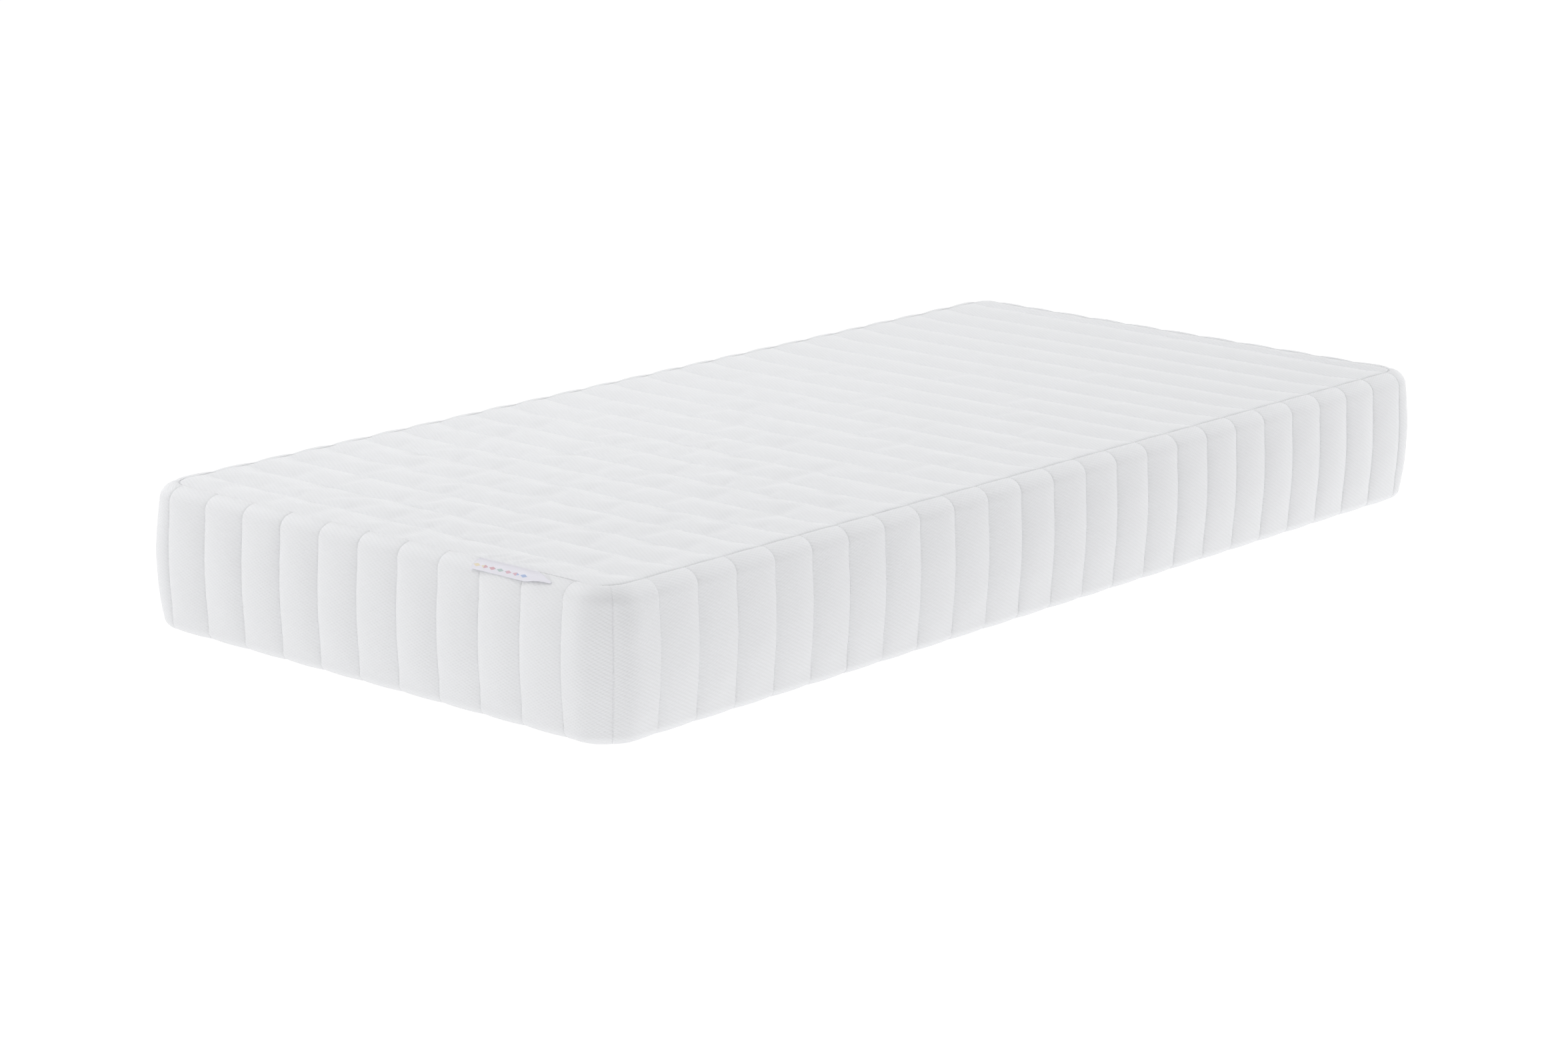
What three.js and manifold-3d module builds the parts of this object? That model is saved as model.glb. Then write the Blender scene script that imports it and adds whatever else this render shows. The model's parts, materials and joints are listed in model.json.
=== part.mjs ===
// A single memory foam mattress: three foam layers in an inner sock, inside a quilted cover
// that closes with a zip across the head end.
// Millimetres. +X is the width, +Y the length (towards the head end), +Z up.
// The origin is the middle of the underside.
import * as THREE from 'three';
import { mergeVertices } from 'three/addons/utils/BufferGeometryUtils.js';
import Module from 'manifold-3d';

const wasm = await Module();
wasm.setup();

// Overall size
const WIDTH = 900;
const LENGTH = 1900;
const HEIGHT = 207;
const CORNER_RADIUS = 66; // plan radius of the four upright corners
const CORNER_STEPS = 6; // flats round each upright corner
const GAP = 0.3; // free space between pieces that lie against each other

// Section of the border, measured inwards (depth) from the widest line of the wall
const WALL_CROWN = 7; // how far the wall pulls in at its ends
const CROWN_HEIGHT = 105; // height of the widest line
const BASE_ROLL = 16; // radius of the lower edge
const TOP_ROLL = 25; // radius of the upper edge
const TOP_SEAM_DEPTH = 33; // where the border meets the top panel
const ROLL_STEPS = 5;
const WALL_STEPS = 6;

// Fabrics and fillings
const FACE = 2; // quilted knit
const BORDER_WADDING = 7.5;
const TOP_WADDING = 10;
const BASE_WADDING = 5.7;
const BACKING = 0.8; // non-woven scrim behind the wadding
const SEAM_FIN = 2; // bound seam allowances, turned to the inside
const SEAM_FIN_HEIGHT = 9;
const BASE_FIN_HEIGHT = 6;
const BORDER_JOIN = { x: -330, width: 14, thick: 1.2, low: 70, high: 178, depth: 20.6 };

// Foam
const FOAM_DEPTH = 24; // foam edge, measured in from the widest line
const TRANSITION_FOAM = 25;
const MEMORY_FOAM = 45;
const SOCK = 1; // knitted inner sock
const SOCK_EDGE = 4;
const SOCK_SLIT = { width: 600, height: 5 };
const SOCK_SEAM_THICK = 2.4;

// Labels, cut from ribbon and sewn into the top seam
const LABEL_THICK = 0.5;
const WOVEN_LABEL = { low: 198, high: 338, drop: 26, lead: 3 };
const CARE_LABEL = { low: 230, high: 290, drop: 62, lead: 30 };

// Zip across the head end
const ZIP_Z = 40; // height of the chain
const ZIP_WINDOW = { width: 750, height: 30, shift: 4 };
const TAPE = { y: 941.2, thick: 0.8, spread: 1.2 };
const COIL = { height: 2.3, thick: 2, spread: 0.7, sides: 8 };
const BAR_SIDES = 12;
const END_TAB = { length: 15, height: 20, thick: 1 };
const SLIDER = { length: 12, height: 9.6, plate: 0.8, flange: 1.3, flangeDrop: 2.2 };
const SLIDER_X = 346; // closed end of the zip
const POST = { length: 4, height: 0.8 };
const CROWN_BAR = { length: 7, rise: 1.9, radius: 0.5, leg: 1.1 };
const PULL = { length: 24, width: 4, thick: 1, eye: 0.8, rim: 0.8, steps: 16 };

// Colours and finishes
const cloth = (color, roughness) => new THREE.MeshStandardMaterial({ color, roughness, metalness: 0 });
const metal = (color) => new THREE.MeshStandardMaterial({ color, roughness: 0.35, metalness: 1 });
const KNIT = cloth(0xe9eaec, 0.9);
const WADDING = cloth(0xf4f4f2, 1);
const SCRIM = cloth(0xdedfe0, 0.95);
const SOCK_KNIT = cloth(0xf1efe9, 0.95);
const TAPE_CLOTH = cloth(0xf2f3f4, 0.8);
const LABEL_SATIN = cloth(0xf6f6f8, 0.5);
const BASE_FOAM = cloth(0xf3f0e4, 0.95);
const TRANSITION = cloth(0xcfe0ea, 0.95);
const VISCO_FOAM = cloth(0xf4ecc8, 0.9);
const NYLON = cloth(0xf0f1f2, 0.45);
const NICKEL = metal(0xc8c9cb);

const mattress = new THREE.Group();

function addPiece(name, geometry, material) {
  const mesh = new THREE.Mesh(geometry, material);
  mesh.name = name;
  mattress.add(mesh);
  return mesh;
}

// --- Plan: a rounded rectangle as a list of columns, anticlockwise seen from above ---

function planColumns() {
  const columns = [];
  const signs = [[1, 1], [-1, 1], [-1, -1], [1, -1]];
  signs.forEach(([sx, sy], quarter) => {
    for (let step = 0; step <= CORNER_STEPS; step += 1) {
      const angle = ((quarter + step / CORNER_STEPS) * Math.PI) / 2;
      columns.push({
        x: sx * (WIDTH / 2 - CORNER_RADIUS),
        y: sy * (LENGTH / 2 - CORNER_RADIUS),
        cos: Math.cos(angle),
        sin: Math.sin(angle),
      });
    }
  });
  return columns;
}

const COLUMNS = planColumns();

// Every profile point [depth, z] is carried round the plan
function sweepPositions(profile) {
  const positions = [];
  for (const column of COLUMNS) {
    for (const [depth, z] of profile) {
      const radius = CORNER_RADIUS - depth;
      positions.push(column.x + radius * column.cos, column.y + radius * column.sin, z);
    }
  }
  return positions;
}

function wallTriangles(points, bands) {
  const index = [];
  for (let column = 0; column < COLUMNS.length; column += 1) {
    const here = column * points;
    const next = ((column + 1) % COLUMNS.length) * points;
    for (let low = 0; low < bands; low += 1) {
      const high = (low + 1) % points;
      index.push(here + low, next + low, next + high);
      index.push(here + low, next + high, here + high);
    }
  }
  return index;
}

function indexedGeometry(positions, index) {
  const geometry = new THREE.BufferGeometry();
  geometry.setAttribute('position', new THREE.Float32BufferAttribute(positions, 3));
  geometry.setIndex(index);
  return geometry;
}

// A closed profile gives a ring round the mattress
function ring(profile) {
  return indexedGeometry(sweepPositions(profile), wallTriangles(profile.length, profile.length));
}

// An open profile, listed upwards, gives a slab with a flat top and bottom
function slab(profile) {
  const points = profile.length;
  const positions = sweepPositions(profile);
  const index = wallTriangles(points, points - 1);
  const bottom = positions.length / 3;
  const top = bottom + 1;
  positions.push(0, 0, profile[0][1], 0, 0, profile[points - 1][1]);
  for (let column = 0; column < COLUMNS.length; column += 1) {
    const here = column * points;
    const next = ((column + 1) % COLUMNS.length) * points;
    index.push(bottom, next, here);
    index.push(top, here + points - 1, next + points - 1);
  }
  return indexedGeometry(positions, index);
}

function plainSlab(depth, low, high) {
  return slab([[depth, low], [depth, high]]);
}

// Turns an extruded section so that its x is the length, its y is up and it runs across the width
const ACROSS = new THREE.Matrix4().makeBasis(
  new THREE.Vector3(0, 1, 0),
  new THREE.Vector3(0, 0, 1),
  new THREE.Vector3(1, 0, 0),
);

function box(x0, x1, y0, y1, z0, z1) {
  const geometry = new THREE.BoxGeometry(x1 - x0, y1 - y0, z1 - z0);
  geometry.translate((x0 + x1) / 2, (y0 + y1) / 2, (z0 + z1) / 2);
  return geometry;
}

// --- Booleans ---

function solid(geometry) {
  const bare = geometry.clone();
  bare.deleteAttribute('normal');
  bare.deleteAttribute('uv');
  const merged = mergeVertices(bare);
  const vertProperties = new Float32Array(merged.attributes.position.array);
  const triVerts = new Uint32Array(merged.index.array);
  return new wasm.Manifold(new wasm.Mesh({ numProp: 3, vertProperties, triVerts }));
}

function geometryOf(manifold) {
  const mesh = manifold.getMesh();
  return indexedGeometry(Array.from(mesh.vertProperties), Array.from(mesh.triVerts));
}

function cut(geometry, ...tools) {
  return geometryOf(tools.reduce((rest, tool) => rest.subtract(solid(tool)), solid(geometry)));
}

function join(geometry, ...others) {
  return geometryOf(others.reduce((sum, other) => sum.add(solid(other)), solid(geometry)));
}

// --- Border section ---

// Points of a quarter roll about [depth, z], from one angle to another (0 is outwards, 90 is up)
function roll(depth, z, radius, from, to) {
  const points = [];
  for (let step = 0; step <= ROLL_STEPS; step += 1) {
    const angle = ((from + ((to - from) * step) / ROLL_STEPS) * Math.PI) / 180;
    points.push([depth - radius * Math.cos(angle), z + radius * Math.sin(angle)]);
  }
  return points;
}

// The wall pulls in with the square of the distance from its widest line
function crownDepth(z) {
  const reach = CROWN_HEIGHT - BASE_ROLL;
  return WALL_CROWN * ((z - CROWN_HEIGHT) / reach) ** 2;
}

const TOP_ROLL_Z = HEIGHT - TOP_ROLL;
const TOP_ROLL_DEPTH = crownDepth(TOP_ROLL_Z) + TOP_ROLL;
const BASE_SEAM_DEPTH = WALL_CROWN + BASE_ROLL;

// A line `inset` behind the outer surface, from the base seam up the wall and over to the top seam
function borderLine(inset, { withBaseRoll, endDepth }) {
  const points = withBaseRoll ? roll(BASE_SEAM_DEPTH, BASE_ROLL, BASE_ROLL - inset, -90, 0) : [];
  const firstStep = withBaseRoll ? 1 : 0;
  for (let step = firstStep; step < WALL_STEPS; step += 1) {
    const z = BASE_ROLL + ((TOP_ROLL_Z - BASE_ROLL) * step) / WALL_STEPS;
    points.push([crownDepth(z) + inset, z]);
  }
  points.push(...roll(TOP_ROLL_DEPTH, TOP_ROLL_Z, TOP_ROLL - inset, 0, 90));
  points.push([endDepth, HEIGHT - inset]);
  return points;
}

function borderLayer(outer, thickness, options) {
  const front = borderLine(outer, options);
  const back = borderLine(outer + thickness, options).reverse();
  return ring([...front, ...back]);
}

function zipWindow() {
  const half = ZIP_WINDOW.width / 2;
  const low = ZIP_Z - ZIP_WINDOW.height / 2;
  return box(-half, half, LENGTH / 2 - FOAM_DEPTH + ZIP_WINDOW.shift, LENGTH / 2 + ZIP_WINDOW.shift, low, low + ZIP_WINDOW.height);
}

function addBorder() {
  const finGap = SEAM_FIN / 2 + GAP;
  const waddingInset = FACE + GAP;
  const backingInset = waddingInset + BORDER_WADDING + GAP;
  const lining = { withBaseRoll: false, endDepth: TOP_SEAM_DEPTH - finGap };
  const face = borderLayer(0, FACE, { withBaseRoll: true, endDepth: TOP_SEAM_DEPTH });
  addPiece('border_face', cut(face, zipWindow()), KNIT);
  addPiece('border_wadding', cut(borderLayer(waddingInset, BORDER_WADDING, lining), zipWindow()), WADDING);
  addPiece('border_backing', cut(borderLayer(backingInset, BACKING, lining), zipWindow()), SCRIM);
  const { x, width, thick, low, high, depth } = BORDER_JOIN;
  const joinY = LENGTH / 2 - CORNER_RADIUS;
  const strip = box(-depth - thick, -depth, -width / 2, width / 2, low, high);
  strip.translate(CORNER_RADIUS, 0, 0);
  strip.rotateZ(Math.PI / 2);
  strip.translate(x, joinY, 0);
  addPiece('border_join_tape', strip, TAPE_CLOTH);
}

// --- Quilted panels ---

function addTopPanel() {
  const waddingTop = HEIGHT - FACE - GAP;
  const backingTop = waddingTop - TOP_WADDING - GAP;
  const inner = TOP_SEAM_DEPTH + SEAM_FIN / 2 + GAP;
  addPiece('top_panel_face', plainSlab(TOP_SEAM_DEPTH + GAP, HEIGHT - FACE, HEIGHT), KNIT);
  addPiece('top_panel_wadding', plainSlab(inner, waddingTop - TOP_WADDING, waddingTop), WADDING);
  addPiece('top_panel_backing', plainSlab(inner, backingTop - BACKING, backingTop), SCRIM);
  return backingTop - BACKING;
}

function addBasePanel() {
  const waddingLow = FACE + GAP;
  const backingLow = waddingLow + BASE_WADDING + GAP;
  const inner = BASE_SEAM_DEPTH + SEAM_FIN / 2 + GAP;
  addPiece('base_panel_face', plainSlab(BASE_SEAM_DEPTH + GAP, 0, FACE), KNIT);
  addPiece('base_panel_wadding', plainSlab(inner, waddingLow, waddingLow + BASE_WADDING), WADDING);
  addPiece('base_panel_backing', plainSlab(inner, backingLow, backingLow + BACKING), SCRIM);
  return backingLow + BACKING;
}

// Bound seam allowances stand on edge inside the cover, behind each perimeter seam
function addSeamTapes() {
  const fin = (depth, low, high) => ring([
    [depth + SEAM_FIN / 2, low],
    [depth - SEAM_FIN / 2, low],
    [depth - SEAM_FIN / 2, high],
    [depth + SEAM_FIN / 2, high],
  ]);
  const top = HEIGHT - FACE - GAP;
  const base = FACE + GAP;
  addPiece('top_seam_tape', fin(TOP_SEAM_DEPTH, top - SEAM_FIN_HEIGHT, top), TAPE_CLOTH);
  addPiece('base_seam_tape', fin(BASE_SEAM_DEPTH, base, base + BASE_FIN_HEIGHT), TAPE_CLOTH);
}

// --- Foam and its sock ---

function addFoam(low, high) {
  const sockLow = low + GAP;
  const sockHigh = high - GAP;
  const sockDepth = FOAM_DEPTH - SOCK - GAP;
  const outerEdge = [
    [sockDepth + SOCK_EDGE, sockLow],
    [sockDepth, sockLow + SOCK_EDGE],
    [sockDepth, sockHigh - SOCK_EDGE],
    [sockDepth + SOCK_EDGE, sockHigh],
  ];
  const innerEdge = outerEdge.map(([depth, z]) => {
    const towardsMiddle = z < (sockLow + sockHigh) / 2 ? SOCK : -SOCK;
    return [depth + SOCK, z + towardsMiddle];
  });
  const foamLow = sockLow + SOCK + GAP;
  const foamHigh = sockHigh - SOCK - GAP;
  const slitZ = (foamLow + foamHigh) / 2;
  const slitOuter = LENGTH / 2 - sockDepth;
  const slit = (inset) => box(
    -SOCK_SLIT.width / 2 + inset,
    SOCK_SLIT.width / 2 - inset,
    slitOuter - SOCK_SEAM_THICK / 2,
    slitOuter + SOCK_SEAM_THICK / 2,
    slitZ - SOCK_SLIT.height / 2 + inset,
    slitZ + SOCK_SLIT.height / 2 - inset,
  );
  addPiece('inner_sock', cut(slab(outerEdge), slab(innerEdge), slit(0)), SOCK_KNIT);
  const seam = slit(GAP);
  seam.translate(0, SOCK_SEAM_THICK / 2 - SOCK, 0);
  addPiece('inner_sock_closing_seam', seam, TAPE_CLOTH);

  const memoryLow = foamHigh - MEMORY_FOAM;
  const transitionHigh = memoryLow - GAP;
  const transitionLow = transitionHigh - TRANSITION_FOAM;
  const edge = SOCK_EDGE;
  addPiece('memory_foam_layer', slab([
    [FOAM_DEPTH, memoryLow],
    [FOAM_DEPTH, foamHigh - edge],
    [FOAM_DEPTH + edge, foamHigh],
  ]), VISCO_FOAM);
  addPiece('transition_foam_layer', plainSlab(FOAM_DEPTH, transitionLow, transitionHigh), TRANSITION);
  addPiece('base_foam_core', slab([
    [FOAM_DEPTH + edge, foamLow],
    [FOAM_DEPTH, foamLow + edge],
    [FOAM_DEPTH, transitionLow - GAP],
  ]), BASE_FOAM);
}

// --- Labels ---

// The border's line at an inset, listed from the top seam over the roll and down the wall
function hangingLine(inset) {
  return borderLine(inset, { withBaseRoll: true, endDepth: TOP_SEAM_DEPTH }).reverse();
}

// The place on the outer line that is `along` millimetres from the top seam: the number of the
// point before it, plus the share of the way to the next one
function placeOnLine(along) {
  const line = hangingLine(0);
  let left = along;
  let place = 0;
  let step = Math.hypot(line[1][0] - line[0][0], line[1][1] - line[0][1]);
  while (left > step) {
    left -= step;
    place += 1;
    step = Math.hypot(line[place + 1][0] - line[place][0], line[place + 1][1] - line[place][1]);
  }
  return place + left / step;
}

function pointAt(line, place) {
  const before = Math.floor(place);
  const share = place - before;
  return line[before].map((value, axis) => value + (line[before + 1][axis] - value) * share);
}

function stretchOfLine(inset, from, to) {
  const line = hangingLine(inset);
  return [pointAt(line, from), ...line.slice(Math.ceil(from), Math.floor(to) + 1), pointAt(line, to)];
}

// A ribbon that follows the outer line, as an extruded section; end +1 is the head, -1 the foot
function ribbon({ low, high, drop, lead }, end) {
  const [from, to] = [placeOnLine(lead), placeOnLine(lead + drop)];
  const outline = [
    ...stretchOfLine(-GAP - LABEL_THICK, from, to),
    ...stretchOfLine(-GAP, from, to).reverse(),
  ];
  const shape = new THREE.Shape(outline.map(([depth, z]) => new THREE.Vector2(LENGTH / 2 - depth, z)));
  const geometry = new THREE.ExtrudeGeometry(shape, { depth: high - low, bevelEnabled: false });
  geometry.applyMatrix4(ACROSS);
  geometry.translate(low, 0, 0);
  if (end < 0) {
    geometry.rotateZ(Math.PI);
    geometry.translate(low + high, 0, 0);
  }
  return geometry;
}

function addLabels() {
  addPiece('woven_label', ribbon(WOVEN_LABEL, -1), LABEL_SATIN);
  addPiece('care_label', ribbon(CARE_LABEL, 1), LABEL_SATIN);
}

// --- Zip ---

const ZIP_HALF = ZIP_WINDOW.width / 2 - GAP;
const TAPE_FRONT = TAPE.y + TAPE.thick;
const COIL_FRONT = TAPE_FRONT + GAP + COIL.thick;
const SLIDER_FRONT = COIL_FRONT + GAP + SLIDER.plate;
const PIVOT_Y = SLIDER_FRONT + CROWN_BAR.rise;

function addChain(side, name) {
  const windowEdge = ZIP_WINDOW.height / 2 - GAP;
  const [low, high] = [ZIP_Z + side * TAPE.spread, ZIP_Z + side * windowEdge].sort((a, b) => a - b);
  const tape = box(-ZIP_HALF, ZIP_HALF, TAPE.y, TAPE_FRONT, low, high);
  addPiece(`zip_tape_${name}`, tape, TAPE_CLOTH);
  const coil = new THREE.CylinderGeometry(COIL.thick / 2, COIL.thick / 2, 2 * ZIP_HALF, COIL.sides);
  coil.rotateZ(Math.PI / 2);
  coil.scale(1, 1, COIL.height / COIL.thick);
  coil.translate(0, TAPE_FRONT + GAP + COIL.thick / 2, ZIP_Z + side * (COIL.spread + COIL.height / 2));
  addPiece(`zip_coil_${name}`, coil, NYLON);
}

function addEndTab(side, name) {
  const [x0, x1] = [side * ZIP_HALF, side * (ZIP_HALF - END_TAB.length)].sort((a, b) => a - b);
  const low = ZIP_Z - END_TAB.height / 2;
  const back = COIL_FRONT + GAP;
  addPiece(`zip_end_tab_${name}`, box(x0, x1, back, back + END_TAB.thick, low, low + END_TAB.height), TAPE_CLOTH);
}

// Two plates either side of the chain, held by a post between the coils, with a bar for the pull
function addSlider() {
  const [x0, x1] = [SLIDER_X - SLIDER.length / 2, SLIDER_X + SLIDER.length / 2];
  const [z0, z1] = [ZIP_Z - SLIDER.height / 2, ZIP_Z + SLIDER.height / 2];
  const innerBack = TAPE.y - GAP - SLIDER.plate;
  const outerBack = SLIDER_FRONT - SLIDER.plate;
  const outerPlate = box(x0, x1, outerBack, SLIDER_FRONT, z0, z1);
  const innerPlate = box(x0, x1, innerBack, innerBack + SLIDER.plate, z0, z1);
  const post = box(
    x1 - POST.length, x1, innerBack, SLIDER_FRONT,
    ZIP_Z - POST.height / 2, ZIP_Z + POST.height / 2,
  );
  const flange = (low) => box(x0, x1, outerBack - SLIDER.flangeDrop, SLIDER_FRONT, low, low + SLIDER.flange);
  const leg = (side) => {
    const outer = SLIDER_X + (side * CROWN_BAR.length) / 2;
    const [legLow, legHigh] = [outer, outer - side * CROWN_BAR.leg].sort((a, b) => a - b);
    const half = CROWN_BAR.leg / 2;
    return box(legLow, legHigh, outerBack, PIVOT_Y + half, ZIP_Z - half, ZIP_Z + half);
  };
  const bar = new THREE.CylinderGeometry(CROWN_BAR.radius, CROWN_BAR.radius, CROWN_BAR.length - CROWN_BAR.leg, BAR_SIDES);
  bar.rotateZ(Math.PI / 2);
  bar.translate(SLIDER_X, PIVOT_Y, ZIP_Z);
  const body = join(
    outerPlate, innerPlate, post, flange(z0), flange(z1 - SLIDER.flange), leg(-1), leg(1), bar,
  );
  addPiece('zip_slider_body', body, NICKEL);
}

// A flat tab with an eye at its upper end, hanging from the slider's bar
function addPull() {
  const rim = PULL.eye + PULL.rim;
  const half = PULL.thick / 2;
  const outline = new THREE.Shape();
  const opening = Math.asin(half / rim);
  outline.moveTo(-half, -PULL.length);
  outline.lineTo(half, -PULL.length);
  outline.lineTo(half, -rim * Math.cos(opening));
  outline.absarc(0, 0, rim, opening - Math.PI / 2, 1.5 * Math.PI - opening, false);
  outline.holes.push(new THREE.Path().absarc(0, 0, PULL.eye, 0, 2 * Math.PI, true));
  const tab = new THREE.ExtrudeGeometry(outline, {
    depth: PULL.width, bevelEnabled: false, curveSegments: PULL.steps,
  });
  tab.applyMatrix4(ACROSS);
  tab.translate(SLIDER_X - PULL.width / 2, PIVOT_Y, ZIP_Z);
  addPiece('zip_pull_tab', tab, NICKEL);
}

function addZip() {
  addChain(1, 'upper');
  addChain(-1, 'lower');
  addEndTab(-1, 'open_end');
  addEndTab(1, 'closed_end');
  addSlider();
  addPull();
}

const liningTop = addTopPanel();
const liningBase = addBasePanel();
addBorder();
addSeamTapes();
addFoam(liningBase, liningTop);
addLabels();
addZip();

export default mattress;
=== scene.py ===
"""A quilted single mattress with its foam, lining, labels and zip, built round the CAD frame."""

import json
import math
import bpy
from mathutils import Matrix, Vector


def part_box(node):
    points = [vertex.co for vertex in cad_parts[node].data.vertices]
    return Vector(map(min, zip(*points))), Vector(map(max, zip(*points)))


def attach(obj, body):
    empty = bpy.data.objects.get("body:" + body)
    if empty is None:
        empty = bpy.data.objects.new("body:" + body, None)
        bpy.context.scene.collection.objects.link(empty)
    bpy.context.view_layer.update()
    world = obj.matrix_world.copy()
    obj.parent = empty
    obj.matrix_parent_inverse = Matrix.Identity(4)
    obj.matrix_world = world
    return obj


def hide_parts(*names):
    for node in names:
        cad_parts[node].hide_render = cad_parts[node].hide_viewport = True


bl_info = {
    "name": "Quilted Mattress",
    "version": (1, 0, 0),
    "blender": (4, 5, 0),
    "location": "3D View > Sidebar > Mattress",
    "description": "Builds a boxed, channel-quilted mattress and the studio it stands in",
    "category": "Add Mesh",
}

import bpy
import numpy as np
from bpy.props import FloatProperty, FloatVectorProperty, IntProperty, PointerProperty
from mathutils import Matrix, Vector

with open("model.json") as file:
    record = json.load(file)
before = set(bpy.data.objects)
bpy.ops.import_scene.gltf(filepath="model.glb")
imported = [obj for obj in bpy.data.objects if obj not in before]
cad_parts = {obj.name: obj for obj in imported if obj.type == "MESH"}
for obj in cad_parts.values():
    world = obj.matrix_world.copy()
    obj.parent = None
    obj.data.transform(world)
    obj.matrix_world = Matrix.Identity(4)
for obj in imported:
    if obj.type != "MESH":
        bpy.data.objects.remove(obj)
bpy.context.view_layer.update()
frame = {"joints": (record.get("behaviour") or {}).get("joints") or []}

BODY = "mattress"
MM = 0.001

# ---------------------------------------------------------------- sizes read from the frame

BASE_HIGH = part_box("base_panel_face")[1]
BORDER_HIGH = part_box("border_face")[1]
TOP_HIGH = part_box("top_panel_face")[1]
HALF_WIDTH = BORDER_HIGH.x
HALF_LENGTH = BORDER_HIGH.y
HEIGHT = BORDER_HIGH.z
TOP_SEAM_DEPTH = HALF_WIDTH - TOP_HIGH.x
BASE_SEAM_DEPTH = HALF_WIDTH - BASE_HIGH.x
TAPE_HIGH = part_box("zip_tape_upper")[1]
TAPE_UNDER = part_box("zip_tape_lower")[0].z
PIVOT = Vector([j for j in frame["joints"] if j["name"] == "zip_pull_swing"][0]["pos_m"])


# ---------------------------------------------------------------- fixed sizes and light levels

CLEAR = 0.3 * MM
SHORTEST_CHANNEL = 20 * MM

# the border's seams, its closing join and the window that its zip sits in
BORDER_JOIN_X = -330 * MM
FOOT_FIRST_SEAM = -391.5 * MM
FOOT_SEAMS = 11
LONG_SIDE_SEAMS = 24
WINDOW_X = TAPE_HIGH.x + CLEAR
WINDOW_HIGH = TAPE_HIGH.z + CLEAR
WINDOW_LOW = TAPE_UNDER - CLEAR
HEM_SINK = 2.6 * MM
HEM_REACH = 16 * MM

# how the cloth sinks at a seam and how full it stands between two
SEAM_SINK = 2.2 * MM
SEAM_CLEAR = 1.4 * MM
GROOVE = 0.8 * MM
GROOVE_REACH = 0.9 * MM
CROWN_PROUD = 0.8 * MM
TOP_CROWN_EDGE = 0.05
BORDER_CROWN_EDGE = 0.22
CORNER_STUFFING = 0.55

# thicknesses, and the stitches of the quilting and of the perimeter seams
KNIT_THICK = 2.0 * MM
KNIT_AT_SEAM = 1.2 * MM
WADDING_THICK = 7.5 * MM
SCRIM_THICK = 0.8 * MM
SOCK_THICK = 0.9 * MM
RIBBON_THICK = 0.5 * MM
QUILTING_STITCH = {"pitch": 3.4 * MM, "length": 2.9 * MM, "width": 0.8 * MM}
PERIMETER_STITCH = {"pitch": 4 * MM, "length": 3.4 * MM, "width": 0.9 * MM}

# how the top panel's cloth settles, and the soft creases that it starts from
CLOTH_BENDING = 15.0
CLOTH_PRESSURE = 3.0
CLOTH_FRAMES = 25
WEIGHT_LEVELS = 24
COARSE_COLUMNS = 101
START_RIPPLE = 0.75 * MM
CREASE_PITCH = 100 * MM
CREASE_LEAN = 55 * MM
LEAST_SLACK = 0.0015
SLACK = 0.004

# labels: the woven ribbon's row of dashes, and how far each ribbon hangs below the top seam
DASHES = 7
DASHES_LENGTH = 98 * MM
DASHES_DROP = 19 * MM
DASH_HALF_HEIGHT = 2.6 * MM
LABEL_COLOUR = (0.77, 0.76, 0.82)
WOVEN_DROP = 26 * MM
CARE_LEAD = 30 * MM
CARE_LENGTH = 62 * MM

# foam: the edges that meet the sock are cut rounder than the rest
FOAM_CUT = 1.5 * MM
FOAM_ROUND = 9 * MM
SOCK_ROUND = 10 * MM

# zip
COIL_WIRE = 0.32 * MM
COIL_PITCH = 1.27 * MM
COIL_PER_TURN = 8
COIL_SIDES = 5
SLIDER_PLATE = 0.8 * MM

# studio: name, place, side and power of each softbox, and the round floor
LIGHTS = (
    ("left_softbox", (-4.6, -2.9, 1.7), 2.6, 107),
    ("right_softbox", (3.4, 5.6, 1.2), 2.0, 153),
    ("overhead_softbox", (-0.9, -0.6, 4.5), 3.5, 122),
    ("high_window", (-1.0, 5.0, 9.0), 4.0, 302),
    ("front_softbox", (3.6, -4.2, 2.2), 1.6, 72),
    ("back_softbox", (-3.0, 8.0, 2.6), 2.0, 82),
)
DOME_STRENGTH = 0.01
AIM = Vector((0, 0, 95 * MM))
SENSOR_WIDTH = 36
FLOOR_GLOW = 1.0
FLOOR_REACH = 36.0
FLOOR_SIDES = 96
COVE = 4.0
WALL_HEIGHT = 7.0


# ---------------------------------------------------------------- what a user would change


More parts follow.
